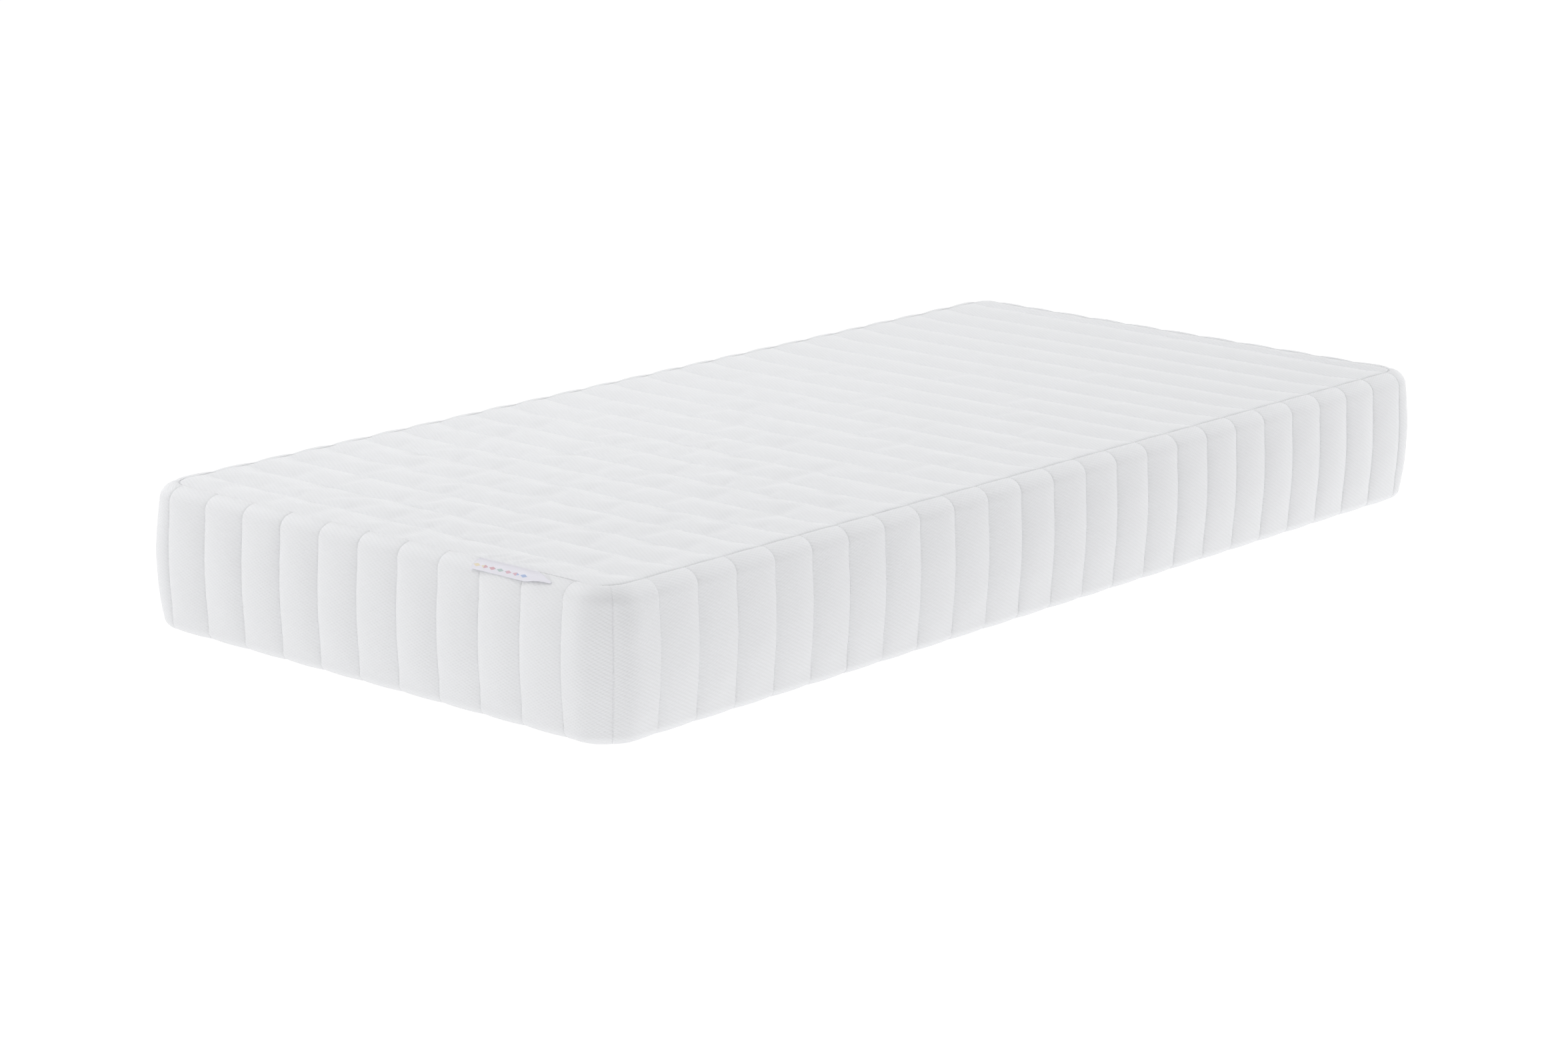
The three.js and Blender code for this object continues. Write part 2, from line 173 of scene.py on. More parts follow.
class MattressSizes(bpy.types.PropertyGroup):
    corner_radius: FloatProperty(
        name="Corner radius", description="Plan radius of the upright corners",
        default=66 * MM, min=0.0, unit="LENGTH")
    channel_pitch: FloatProperty(
        name="Channel pitch", description="Distance between the quilting seams",
        default=75.5 * MM, min=0.01, unit="LENGTH")
    top_first_seam: FloatProperty(
        name="First top seam", description="Place along the length of the top panel's first seam",
        default=-851 * MM, unit="LENGTH")
    side_first_seam: FloatProperty(
        name="First side seam", description="Place along the long side of the border's first seam",
        default=-848.5 * MM, unit="LENGTH")
    wall_crown: FloatProperty(
        name="Wall crown", description="How far the wall pulls in at its upper and lower ends",
        default=7 * MM, unit="LENGTH")
    crown_height: FloatProperty(
        name="Crown height", description="Height of the wall's widest line",
        default=105 * MM, unit="LENGTH")
    top_roll: FloatProperty(
        name="Top roll", description="Radius of the upper edge", default=25 * MM, unit="LENGTH")
    base_roll: FloatProperty(
        name="Base roll", description="Radius of the lower edge", default=16 * MM, unit="LENGTH")
    top_puff: FloatProperty(
        name="Top puff", description="Height of a top channel above its seams",
        default=5.4 * MM, unit="LENGTH")
    side_puff: FloatProperty(
        name="Side puff", description="Height of a border channel above its seams",
        default=6 * MM, unit="LENGTH")
    seed: IntProperty(
        name="Seed", description="Seed of the fabric's small irregularities", default=11)


class MattressColours(bpy.types.PropertyGroup):
    knit: FloatVectorProperty(
        name="Knit", description="Colour of the quilted knit", subtype="COLOR",
        default=(0.80, 0.805, 0.82), size=3, min=0.0, max=1.0)
    thread: FloatVectorProperty(
        name="Thread", description="Colour of the quilting thread", subtype="COLOR",
        default=(0.86, 0.865, 0.88), size=3, min=0.0, max=1.0)


class MattressStudio(bpy.types.PropertyGroup):
    lens: FloatProperty(
        name="Lens", description="Focal length on a 36 mm sensor", default=92.07, unit="CAMERA")
    azimuth: FloatProperty(
        name="Azimuth", description="Where the camera stands, turned from the foot end",
        default=math.radians(40.655), subtype="ANGLE")
    elevation: FloatProperty(
        name="Elevation", description="How far the camera looks down",
        default=math.radians(14.114), subtype="ANGLE")
    roll: FloatProperty(
        name="Roll", description="Tilt of the camera", default=math.radians(0.5955), subtype="ANGLE")
    distance: FloatProperty(
        name="Distance", description="Camera to the middle of the mattress", default=6.006,
        unit="LENGTH")
    slide_right: FloatProperty(
        name="Slide right", description="Camera moved along its own right", default=-0.0603,
        unit="LENGTH")
    slide_up: FloatProperty(
        name="Slide up", description="Camera moved along its own up", default=-0.0426, unit="LENGTH")


def sizes():
    return bpy.context.scene.mattress_sizes


def colours():
    return bpy.context.scene.mattress_colours


# ---------------------------------------------------------------- meshes from whole arrays


def grid_faces(rows, cols, close_cols=False, keep=None):
    """Quads between neighbours of a rows x cols grid of vertices, wrapped where it closes."""
    a, b = np.meshgrid(np.arange(rows - 1), np.arange(cols if close_cols else cols - 1), indexing="ij")
    b2 = (b + 1) % cols
    quads = np.stack([a * cols + b, a * cols + b2, (a + 1) * cols + b2, (a + 1) * cols + b], axis=-1)
    return quads[keep] if keep is not None else quads.reshape(-1, 4)


def add_mesh(name, points, *face_groups, cloth=None, period=None, smooth=True):
    """A mesh object from an (n, 3) array and arrays of faces. cloth is an (n, 2) map in metres, and
    period is the length after which it starts again."""
    mesh = bpy.data.meshes.new(name)
    points = np.asarray(points, np.float32)
    loops = np.concatenate([group.ravel() for group in face_groups]).astype(np.int32)
    totals = np.concatenate([np.full(len(g), g.shape[1], np.int32) for g in face_groups])
    mesh.vertices.add(len(points))
    mesh.vertices.foreach_set("co", points.ravel())
    mesh.loops.add(len(loops))
    mesh.loops.foreach_set("vertex_index", loops)
    mesh.polygons.add(len(totals))
    mesh.polygons.foreach_set("loop_start", np.cumsum(totals, dtype=np.int32) - totals)
    mesh.polygons.foreach_set("loop_total", totals)
    mesh.polygons.foreach_set("use_smooth", np.full(len(totals), smooth))
    if cloth is not None:
        map_at_loops = np.asarray(cloth, np.float32)[loops]
        if period:
            quads = map_at_loops.reshape(-1, 4, 2)
            wraps = np.ptp(quads[:, :, 0], axis=1) > period / 2
            low = quads[:, :, 0] < quads[:, :, 0].mean(axis=1, keepdims=True)
            quads[:, :, 0] += period * (low & wraps[:, None])
        mesh.uv_layers.new(name="cloth").data.foreach_set("uv", map_at_loops.ravel())
    mesh.update(calc_edges=True)
    if mesh.validate():
        raise RuntimeError(f"the mesh of {name} has broken faces")
    made = bpy.data.objects.new(name, mesh)
    bpy.context.scene.collection.objects.link(made)
    return made


def finish_piece(piece, material, slot, *nodes, body=BODY):
    """Gives a piece its material and the body it moves with, and hides the frame's nodes that it stands
    for.
    """
    piece.data.materials.clear()
    piece.data.materials.append(material)
    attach(piece, body)
    if nodes:
        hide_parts(*nodes)
    return piece


def two_sided(name, outer, inner, cloth, close_cols=False, hole=None, period=None):
    """A closed shell: an outer and an inner grid of the same size, joined along every free edge.
    Rows run first; hole is (first row, last row, first column, last column) of a window."""
    rows, cols = outer.shape[:2]
    count = rows * cols
    keep = np.ones((rows - 1, cols if close_cols else cols - 1), bool)
    if hole:
        keep[hole[0]:hole[1], hole[2]:hole[3]] = False
    front = grid_faces(rows, cols, close_cols, keep)
    index = np.arange(count).reshape(rows, cols)
    if close_cols:
        index = np.concatenate([index, index[:, :1]], axis=1)
    edges = [index[0], index[-1, ::-1]]
    if not close_cols:
        edges += [index[::-1, 0], index[:, -1]]
    if hole:
        r0, r1, c0, c1 = hole
        edges += [index[r0, c0:c1 + 1][::-1], index[r1, c0:c1 + 1]]
        edges += [index[r0:r1 + 1, c0], index[r0:r1 + 1, c1][::-1]]
    walls = [np.stack([e[1:], e[:-1], e[:-1] + count, e[1:] + count], axis=-1) for e in edges]
    points = np.concatenate([outer.reshape(-1, 3), inner.reshape(-1, 3)])
    both = np.concatenate([cloth.reshape(-1, 2)] * 2)
    return add_mesh(name, points, front, front[:, ::-1] + count, *walls, cloth=both, period=period)


def smooth_noise(rng, u, v, wavelength, octaves=2):
    """Sums of sine waves in random directions, about one unit high, over flat coordinates u, v."""
    total = np.zeros(np.broadcast(u, v).shape)
    for octave in range(octaves):
        for _ in range(6):
            angle, phase = rng.uniform(0, 2 * np.pi, 2)
            k = 2 * np.pi * 2**octave / (wavelength * rng.uniform(0.7, 1.5))
            total += np.sin(k * (u * np.cos(angle) + v * np.sin(angle)) + phase) / 2**octave / 3
    return total


def resample(grid, rows_at, cols_at):
    """Cubic (Catmull-Rom) values of a grid of points at fractional rows and columns."""

    def along(values, at):
        at = np.clip(at, 0, len(values) - 1)
        i = np.minimum(at.astype(int), len(values) - 2)
        f = (at - i).reshape((-1,) + (1,) * (values.ndim - 1))
        p0, p1 = values[np.maximum(i - 1, 0)], values[i]
        p2, p3 = values[i + 1], values[np.minimum(i + 2, len(values) - 1)]
        return (p1 + f * (p2 - p0) / 2 + f**2 * (p0 - 2.5 * p1 + 2 * p2 - p3 / 2)
                + f**3 * (1.5 * (p1 - p2) + (p3 - p0) / 2))

    return along(along(grid, rows_at).swapaxes(0, 1), cols_at).swapaxes(0, 1)


# ---------------------------------------------------------------- plan, section and seams


def plan_points(s, depth):
    """The rounded rectangle of the plan at arc length s, depth inside its widest line, anticlockwise
    from the middle of the +X side: a point that walks the inner rectangle of corner centres, plus
    the corner radius less the depth along the outward normal."""
    radius = sizes().corner_radius
    x, y, arc = HALF_WIDTH - radius, HALF_LENGTH - radius, radius * np.pi / 2
    steps = np.cumsum([0, y, arc, 2 * x, arc, 2 * y, arc, 2 * x, arc, y])
    s = np.mod(s, steps[-1])
    angle = np.interp(s, steps, np.array([0, 0, 1, 1, 2, 2, 3, 3, 4, 4]) * np.pi / 2)
    centre_x = np.interp(s, steps, [x, x, x, -x, -x, -x, -x, x, x, x])
    centre_y = np.interp(s, steps, [0, y, y, y, y, -y, -y, -y, -y, 0])
    return (centre_x + (radius - depth) * np.cos(angle), centre_y + (radius - depth) * np.sin(angle))


def plan_length():
    """Length of the widest line round the mattress."""
    radius = sizes().corner_radius
    return 4 * (HALF_WIDTH + HALF_LENGTH - 2 * radius) + 2 * np.pi * radius


def head_end(x):
    """Arc length of the plan at x on the head end (+Y)."""
    radius = sizes().corner_radius
    return HALF_LENGTH - radius + radius * np.pi / 2 + HALF_WIDTH - radius - x


def foot_end(x):
    """Arc length of the plan at x on the foot end (-Y)."""
    return x - head_end(0)


def wall_depth(z):
    """The wall pulls in with the square of the distance from its widest line."""
    size = sizes()
    return size.wall_crown * ((z - size.crown_height) / (size.crown_height - size.base_roll)) ** 2


def section_line():
    """The border's outer line as (depth, z) points from the base seam, round the base roll, up the
    wall and over the top roll to the top seam, with its running length."""
    size = sizes()
    turn = np.linspace(0, np.pi / 2, 24)
    base_depth, base_z = BASE_SEAM_DEPTH, size.base_roll
    top_z = HEIGHT - size.top_roll
    top_depth = wall_depth(top_z) + size.top_roll
    wall_z = np.linspace(base_z, top_z, 60)[1:-1]
    sin, cos = np.sin(turn), np.cos(turn)
    line = np.concatenate([
        np.stack([base_depth - size.base_roll * sin, base_z - size.base_roll * cos], 1),
        np.stack([wall_depth(wall_z), wall_z], 1),
        np.stack([top_depth - size.top_roll * cos, top_z + size.top_roll * sin], 1),
        [[TOP_SEAM_DEPTH, HEIGHT]],
    ])
    length = np.concatenate([[0], np.cumsum(np.hypot(*np.diff(line, axis=0).T))])
    return line, length


def section_at(v):
    """Depth, z and the outward normal's two parts at running length v of the border's section."""
    line, length = section_line()
    slope = np.gradient(line, length, axis=0)
    slope /= np.linalg.norm(slope, axis=1, keepdims=True)
    depth, z = (np.interp(v, length, column) for column in line.T)
    along_depth, along_z = (np.interp(v, length, column) for column in slope.T)
    return depth, z, -along_z, along_depth


def section_length_at(z):
    """Running length of the wall at a height."""
    line, length = section_line()
    return float(np.interp(z, line[:-2, 1], length[:-2]))


def border_seams():
    """Arc lengths of the border's quilting seams, once round from the far long side: evenly pitched
    along the foot and near long sides with one seam at their corner, and on from there both ways
    to the closing join at the head end. The first seam comes again at the end."""
    size = sizes()
    pitch = size.channel_pitch
    join = head_end(BORDER_JOIN_X)
    foot = foot_end(FOOT_FIRST_SEAM) + pitch * np.arange(FOOT_SEAMS)
    long_side = size.side_first_seam + pitch * np.arange(LONG_SIDE_SEAMS)
    corner = [(foot[-1] + long_side[0]) / 2]
    after = np.arange(long_side[-1] + pitch, join - SHORTEST_CHANNEL, pitch)
    before = np.arange(foot[0] - pitch, join - plan_length() + SHORTEST_CHANNEL, -pitch)
    seams = np.concatenate([before, foot, corner, long_side, after, [join]])
    seams = np.sort(np.where(seams < -plan_length() / 2, seams + plan_length(), seams))
    return np.append(seams, seams[0] + plan_length())


def panel_seams(inset):
    """Places along the length of a panel's quilting seams, with its two ends."""
    size = sizes()
    end = HALF_LENGTH - inset
    seams = np.arange(size.top_first_seam, end - SHORTEST_CHANNEL, size.channel_pitch)
    return np.concatenate([[-end], seams, [end]])


def along_channels(seams, per_channel, gather=0.6):
    """Places across every channel, closer together by its seams: t less a share of a sine of it."""
    t = np.arange(per_channel) / per_channel
    t = t - gather * np.sin(2 * np.pi * t) / (2 * np.pi)
    places = seams[:-1, None] + np.diff(seams)[:, None] * t
    return np.append(places.ravel(), seams[-1])


def channel_share(seams, places):
    """Channel number of each place, and its share of the way across that channel."""
    channel = np.clip(np.searchsorted(seams, places, side="right") - 1, 0, len(seams) - 2)
    return channel, (places - seams[channel]) / (seams[channel + 1] - seams[channel])


def crown(t, edge=0.1):
    """Height of a stuffed channel across its width, 0 at the seams and 1 in the middle: one less
    the square of the distance from the middle, with a share of its eighth power."""
    u = np.abs(2 * t - 1)
    return 1 - (1 - edge) * u**2 - edge * u**8


def eased(value):
    """0 to 1 with a level start and end."""
    value = np.clip(value, 0, 1)
    return value * value * (3 - 2 * value)


def rounded(distance, reach):
    """A quarter round: 0 at distance 0, 1 from reach on."""
    return np.sqrt(1 - (1 - np.clip(distance / reach, 0, 1)) ** 2)


def edge_distance(x, y, inset):
    """Distance in from a panel's rounded edge."""
    radius = sizes().corner_radius - inset
    from_x = np.abs(x) - (HALF_WIDTH - inset - radius)
    from_y = np.abs(y) - (HALF_LENGTH - inset - radius)
    outside = np.hypot(np.maximum(from_x, 0), np.maximum(from_y, 0))
    return radius - outside - np.minimum(np.maximum(from_x, from_y), 0)


def panel_plan(rows, inset, columns):
    """x and y of a panel's grid: rows across the width, each as wide as the outline is there."""
    radius = sizes().corner_radius - inset
    over = np.clip(np.abs(rows) - (HALF_LENGTH - inset - radius), 0, radius)
    half = HALF_WIDTH - inset - radius + np.sqrt(np.maximum(radius**2 - over**2, 0))
    return half[:, None] * columns[None, :], np.repeat(rows[:, None], len(columns), 1)


# ---------------------------------------------------------------- materials


class Recipe:
    """The nodes of one material, with short calls to place and join them."""

    def __init__(self, name, colour, roughness, **sockets):
        self.material = bpy.data.materials.new(name)
        self.material.use_nodes = True
        self.nodes = self.material.node_tree.nodes
        self.links = self.material.node_tree.links
        self.shader = self.nodes["Principled BSDF"]
        self.shader.inputs["Base Color"].default_value = (*colour, 1)
        self.shader.inputs["Roughness"].default_value = roughness
        for socket, value in sockets.items():
            self.shader.inputs[socket.replace("_", " ").title()].default_value = value

    def node(self, kind, inputs=(), **settings):
        made = self.nodes.new(kind)
        for key, value in settings.items():
            setattr(made, key, value)
        for key, value in dict(inputs).items():
            self.feed(made.inputs[key], value)
        return made

    def feed(self, socket, value):
        if isinstance(value, bpy.types.NodeSocket):
            self.links.new(value, socket)
        else:
            socket.default_value = value

    def math(self, operation, *values):
        return self.node("ShaderNodeMath", enumerate(values), operation=operation).outputs[0]

    def coordinates(self, cloth):
        if cloth:
            return self.node("ShaderNodeUVMap", uv_map="cloth").outputs["UV"]
        return self.node("ShaderNodeTexCoord").outputs["Object"]

    def noise(self, vector, wavelength, detail=2.0):
        """Noise from 0 to 1 whose lumps are about a wavelength across."""
        return self.node("ShaderNodeTexNoise", {"Vector": vector, "Scale": 1 / wavelength,
                                                "Detail": detail}).outputs["Fac"]

    def ribs(self, vector, wavelength, degrees, wobble=0.0):
        """A sine wave from -1 to 1 across ribs a wavelength apart, in a direction turned from u."""
        apart = self.node("ShaderNodeSeparateXYZ", {0: vector})
        turn = math.radians(degrees)
        k = 2 * math.pi / wavelength
        along = self.math("MULTIPLY", apart.outputs[0], k * math.cos(turn))
        phase = self.math("MULTIPLY_ADD", apart.outputs[1], k * math.sin(turn), along)
        if wobble:
            phase = self.math("MULTIPLY_ADD", self.noise(vector, 12 * wavelength), wobble, phase)
        return self.math("SINE", phase)

    def mix(self, *terms):
        """Sum of (value, weight) pairs."""
        total = 0.0
        for value, weight in terms:
            total = self.math("MULTIPLY_ADD", value, weight, total)
        return total

    def tint(self, factor, low, high):
        """Colour between two, by a factor that runs from 0 to 1."""
        ramp = self.node("ShaderNodeValToRGB", {"Fac": factor})
        ramp.color_ramp.elements[0].color = (*low, 1)
        ramp.color_ramp.elements[1].color = (*high, 1)
        self.links.new(ramp.outputs["Color"], self.shader.inputs["Base Color"])

    def bump(self, height, distance):
        made = self.node("ShaderNodeBump", {"Height": height, "Distance": distance, "Strength": 1.0})
        self.links.new(made.outputs["Normal"], self.shader.inputs["Normal"])
        return self.material


def shade(colour, factor):
    return tuple(min(1.0, channel * factor) for channel in colour)


def knit_material():
    """Double jersey: two families of slanting ribs cross, over a fine grain of loops, with painted
    shade in their valleys.
    """
    colour = colours().knit[:]
    recipe = Recipe("Quilted_knit", colour, 0.88, sheen_weight=0.18, sheen_roughness=0.5)
    cloth = recipe.coordinates(cloth=True)
    broad = recipe.ribs(cloth, 4.93 * MM, 61.8, wobble=2.2)
    fine = recipe.ribs(cloth, 3.33 * MM, -62.1, wobble=2.2)
    loops = recipe.noise(cloth, 0.9 * MM)
    height = recipe.mix((broad, 0.3), (fine, 0.22), (loops, 0.35), (0.5, 1.0))
    patches = recipe.noise(cloth, 90 * MM)
    # painted shade: the colour is darker where the ribs and loops are low, in their valleys; it also
    # changes at random in broad patches
    valley_shade_and_patches = recipe.mix((height, 0.75), (patches, 0.4), (-0.2, 1.0))
    recipe.tint(valley_shade_and_patches, shade(colour, 0.955), shade(colour, 1.02))
    return recipe.bump(height, 0.32 * MM)


def cloth_material(name, colour, roughness, pitch, depth, sheen=0.0):
    """Plain cloth: warp and weft ribs cross at right angles."""
    recipe = Recipe(name, colour, roughness, sheen_weight=sheen)
    vector = recipe.coordinates(cloth=False)
    warp, weft = recipe.ribs(vector, pitch, 0, 1.5), recipe.ribs(vector, pitch, 90, 1.5)
    fuzz = recipe.noise(vector, pitch * 0.7)
    height = recipe.mix((warp, 0.25), (weft, 0.25), (fuzz, 0.4), (0.3, 1.0))
    # painted shade: the colour is darker where the weave is low, between its ribs
    recipe.tint(height, shade(colour, 0.93), shade(colour, 1.02))
    return recipe.bump(height, depth)


def foam_material(name, colour, pore, depth):
    """Open cells: pits of a Voronoi pattern under a fine noise, with painted shade that darkens the
    pits.
    """
    recipe = Recipe(name, colour, 0.95)
    vector = recipe.coordinates(cloth=False)
    cells = recipe.node("ShaderNodeTexVoronoi", {"Vector": vector, "Scale": 1 / pore})
    height = recipe.mix((cells.outputs["Distance"], -0.7), (recipe.noise(vector, pore * 0.5), 0.4),
                        (0.7, 1.0))
    # painted shade: the colour is darker down in the pits of the cells
    recipe.tint(height, shade(colour, 0.86), shade(colour, 1.03))
    return recipe.bump(height, depth)


def fluff_material(name, colour):
    """Matted fibre: two noises, one drawn out along a diagonal."""
    recipe = Recipe(name, colour, 1.0, sheen_weight=0.3)
    vector = recipe.coordinates(cloth=False)
    drawn = recipe.node("ShaderNodeMapping", {"Vector": vector, "Scale": (1.0, 0.12, 0.5)}).outputs[0]
    lumps = recipe.noise(vector, 6 * MM, 4.0)
    height = recipe.mix((lumps, 0.6), (recipe.noise(drawn, 1.2 * MM), 0.5))
    # painted shade: the colour is darker where the matted fibre is low, between its lumps
    recipe.tint(height, shade(colour, 0.9), shade(colour, 1.03))
    return recipe.bump(height, 1.0 * MM)


def thread_material():
    """Plied thread: a tight slanting rib over a fine noise."""
    colour = colours().thread[:]
    recipe = Recipe("Quilting_thread", colour, 0.55, sheen_weight=0.3)
    vector = recipe.coordinates(cloth=False)
    plies = recipe.ribs(vector, 0.5 * MM, 40)
    height = recipe.mix((plies, 0.4), (recipe.noise(vector, 0.4 * MM), 0.5))
    # painted shade: the colour is darker in the grooves between the plies
    recipe.tint(height, shade(colour, 0.92), shade(colour, 1.0))
    return recipe.bump(height, 0.05 * MM)


def nickel_material():
    """Plated die casting: fine tumbling marks and slightly uneven gloss."""
    recipe = Recipe("Nickel", (0.72, 0.72, 0.73), 0.3, metallic=1.0)
    vector = recipe.coordinates(cloth=False)
    marks = recipe.noise(vector, 0.4 * MM, 3.0)
    recipe.feed(recipe.shader.inputs["Roughness"], recipe.mix((marks, 0.25), (0.2, 1.0)))
    recipe.tint(recipe.noise(vector, 3 * MM), (0.66, 0.66, 0.67), (0.76, 0.76, 0.77))
    return recipe.bump(marks, 0.02 * MM)


def nylon_material():
    """Moulded monofilament: smooth, with a faint cloudiness."""
    recipe = Recipe("Nylon", (0.86, 0.87, 0.89), 0.4, subsurface_weight=0.1)
    vector = recipe.coordinates(cloth=False)
    cloud = recipe.noise(vector, 2 * MM)
    recipe.tint(cloud, (0.82, 0.83, 0.85), (0.88, 0.89, 0.9))
    return recipe.bump(recipe.noise(vector, 0.3 * MM), 0.02 * MM)


def satin_material():
    """Satin ribbon: long floats that shine, with fine ribs across."""
    recipe = Recipe("Label_satin", (0.86, 0.86, 0.92), 0.38, sheen_weight=0.3)
    cloth = recipe.coordinates(cloth=True)
    ribs = recipe.ribs(cloth, 0.45 * MM, 0)
    height = recipe.mix((ribs, 0.3), (recipe.noise(cloth, 0.5 * MM), 0.3), (0.3, 1.0))
    # painted shade: the colour is darker in the troughs between the ribs
    recipe.tint(height, (0.82, 0.82, 0.89), (0.88, 0.88, 0.94))
    return recipe.bump(height, 0.04 * MM)


def woven_marks_material():
    """Satin with a row of plain dashes woven in, whose colour changes in steps along the ribbon.
    The dashes are lozenges: across and along the row, their two distances add up to one."""
    recipe = Recipe("Label_satin_dashes", LABEL_COLOUR, 0.38, sheen_weight=0.3)
    cloth = recipe.coordinates(cloth=True)
    apart = recipe.node("ShaderNodeSeparateXYZ", {0: cloth})
    stops = [(0.0, (0.75, 0.62, 0.28)), (0.2, (0.55, 0.16, 0.2)), (0.4, (0.25, 0.42, 0.36)),
             (0.6, (0.6, 0.25, 0.32)), (0.8, (0.14, 0.3, 0.62))]
    share = recipe.math("DIVIDE", apart.outputs[0], DASHES_LENGTH)
    ramp = recipe.node("ShaderNodeValToRGB", {"Fac": share})
    ramp.color_ramp.interpolation = "CONSTANT"
    for place, colour in stops[2:]:
        ramp.color_ramp.elements.new(place)
    for element, (place, colour) in zip(ramp.color_ramp.elements, stops):
        element.position, element.color = place, (*colour, 1)
    in_dash = recipe.math("FRACT", recipe.math("MULTIPLY", share, DASHES))
    in_dash = recipe.math("ABSOLUTE", recipe.math("SUBTRACT", in_dash, 0.5))
    across = recipe.math("ABSOLUTE", recipe.math("DIVIDE", apart.outputs[1], DASH_HALF_HEIGHT))
    from_dash = recipe.math("ADD", recipe.math("MULTIPLY", in_dash, 2.2), across)
    on_row = recipe.math("LESS_THAN", from_dash, 1.0)
    from_middle = recipe.math("ABSOLUTE", recipe.math("SUBTRACT", share, 0.5))
    within = recipe.math("LESS_THAN", from_middle, 0.5)
    threads = recipe.ribs(cloth, 0.45 * MM, 0)
    blend = recipe.node("ShaderNodeMix", data_type="RGBA")
    recipe.feed(blend.inputs[0], recipe.math("MULTIPLY", recipe.math("MULTIPLY", on_row, within), 0.6))
    blend.inputs[6].default_value = (*LABEL_COLOUR, 1)
    recipe.feed(blend.inputs[7], ramp.outputs["Color"])
    recipe.feed(recipe.shader.inputs["Base Color"], blend.outputs[2])
    return recipe.bump(recipe.mix((threads, 0.3), (on_row, 0.3)), 0.05 * MM)


MATERIALS = {}


def material(kind):
    """One of the mattress's materials, made when it is first asked for."""
    makers = {
        "knit": (knit_material,),
        "thread": (thread_material,),
        "nickel": (nickel_material,),
        "nylon": (nylon_material,),
        "satin": (satin_material,),
        "woven_marks": (woven_marks_material,),
        "wadding": (fluff_material, "Fibre_wadding", (0.86, 0.86, 0.84)),
        "scrim": (cloth_material, "Scrim", (0.74, 0.75, 0.76), 0.95, 1.6 * MM, 0.15 * MM),
        "sock": (cloth_material, "Sock_knit", (0.84, 0.82, 0.78), 0.95, 2.4 * MM, 0.3 * MM, 0.2),
        "tape": (cloth_material, "Tape_cloth", (0.86, 0.87, 0.88), 0.8, 0.9 * MM, 0.12 * MM),
        "base_foam": (foam_material, "Base_foam", (0.88, 0.86, 0.78), 1.4 * MM, 0.5 * MM),
        "transition_foam": (
            foam_material, "Transition_foam", (0.62, 0.75, 0.83), 1.1 * MM, 0.4 * MM),
        "memory_foam": (foam_material, "Memory_foam", (0.90, 0.84, 0.58), 0.8 * MM, 0.2 * MM),
    }
    if kind not in MATERIALS:
        maker, *values = makers[kind]
        MATERIALS[kind] = maker(*values)
    return MATERIALS[kind]


# ---------------------------------------------------------------- border


def border_grid(per_channel, rows):
    """Arc lengths and section lengths of the border's grid. The zip window's edges are on it."""
    seams = border_seams()
    columns = along_channels(seams, per_channel, 0.9)[:-1]
    for edge in (head_end(WINDOW_X), head_end(-WINDOW_X)):
        columns[np.argmin(np.abs(columns - edge))] = edge
    for z in (WINDOW_LOW, WINDOW_HIGH):
        rows[np.argmin(np.abs(rows - section_length_at(z)))] = section_length_at(z)
    return columns, rows


def border_offset(s, v):
    """How far the border's outer face stands out from the section line at arc length s and section
    length v: sunk at its seams, crowned between them, drawn in to the base and top seams and to
    the zip window, with each channel stuffed a little differently."""
    size = sizes()
    seams = border_seams()
    channel, t = channel_share(seams, s)
    rng = np.random.default_rng(size.seed)
    stuffing = rng.uniform(0.93, 1.07, len(seams))
    corner = int(np.argmin(np.abs(seams - foot_end(HALF_WIDTH - size.corner_radius / 3))))
    stuffing[corner - 1:corner + 1] *= CORNER_STUFFING
    stuffing = stuffing[channel]
    lean = rng.uniform(-0.04, 0.04, len(seams))[channel]
    body = crown(np.clip(t + lean * t * (1 - t) * 4, 0, 1), BORDER_CROWN_EDGE)
    gap = np.minimum(t, 1 - t) * np.diff(seams)[channel]
    groove = GROOVE * np.exp(-(gap / GROOVE_REACH) ** 2)
    full = stuffing_at(v)
    drift = 0.4 * MM * smooth_noise(rng, s, v, 0.16) + 0.12 * MM * smooth_noise(rng, s, v, 0.04)
    offset = (border_level(v) - size.side_puff * stuffing * full * (1 - body) + drift * body * full
              - groove * (0.3 + 0.7 * full))
    free = eased(window_distance(s, v) / HEM_REACH)
    return offset * free - (1 - free) * HEM_SINK


def stuffing_at(v):
    """Share of the border's full puff at section length v: least at the base, where the cloth is
    pulled flat, halved over the upper edge, and none in the top seam itself."""
    length = section_line()[1][-1]
    base = 0.22 + 0.78 * eased((v - 8 * MM) / (46 * MM))
    upper = 0.4 + 0.6 * eased((length - v - 18 * MM) / (52 * MM))
    return base * upper * eased((length - v) / (8 * MM))


def border_level(v):
    """Offset of the border's crowns: a little proud of the wall, and drawn in to the seams at both
    ends of the section by a quarter round."""
    length = section_line()[1][-1]
    return (CROWN_PROUD * stuffing_at(v) - SEAM_SINK * (1 - rounded(length - v, 10 * MM))
            - 0.75 * SEAM_SINK * (1 - rounded(v, 8 * MM)))


def window_distance(s, v):
    """Distance along the cloth from the zip window."""
    x = head_end(0) - s
    beyond_x = np.maximum(np.abs(x) - WINDOW_X, 0)
    low, high = section_length_at(WINDOW_LOW), section_length_at(WINDOW_HIGH)
    beyond_v = np.maximum(np.maximum(low - v, v - high), 0)
    return np.hypot(beyond_x, beyond_v)


def border_points(s, v, offset):
    """Points of the border's section line carried round the plan, moved out along its normal."""
    depth, z, out_depth, out_z = section_at(v)
    x, y = plan_points(s, depth + out_depth * offset)
    return np.stack([x, y, np.broadcast_to(z + out_z * offset, x.shape)], axis=-1)


def border_body(s):
    """0 at a seam and 1 in the middle of a channel."""
    return crown(channel_share(border_seams(), s)[1])


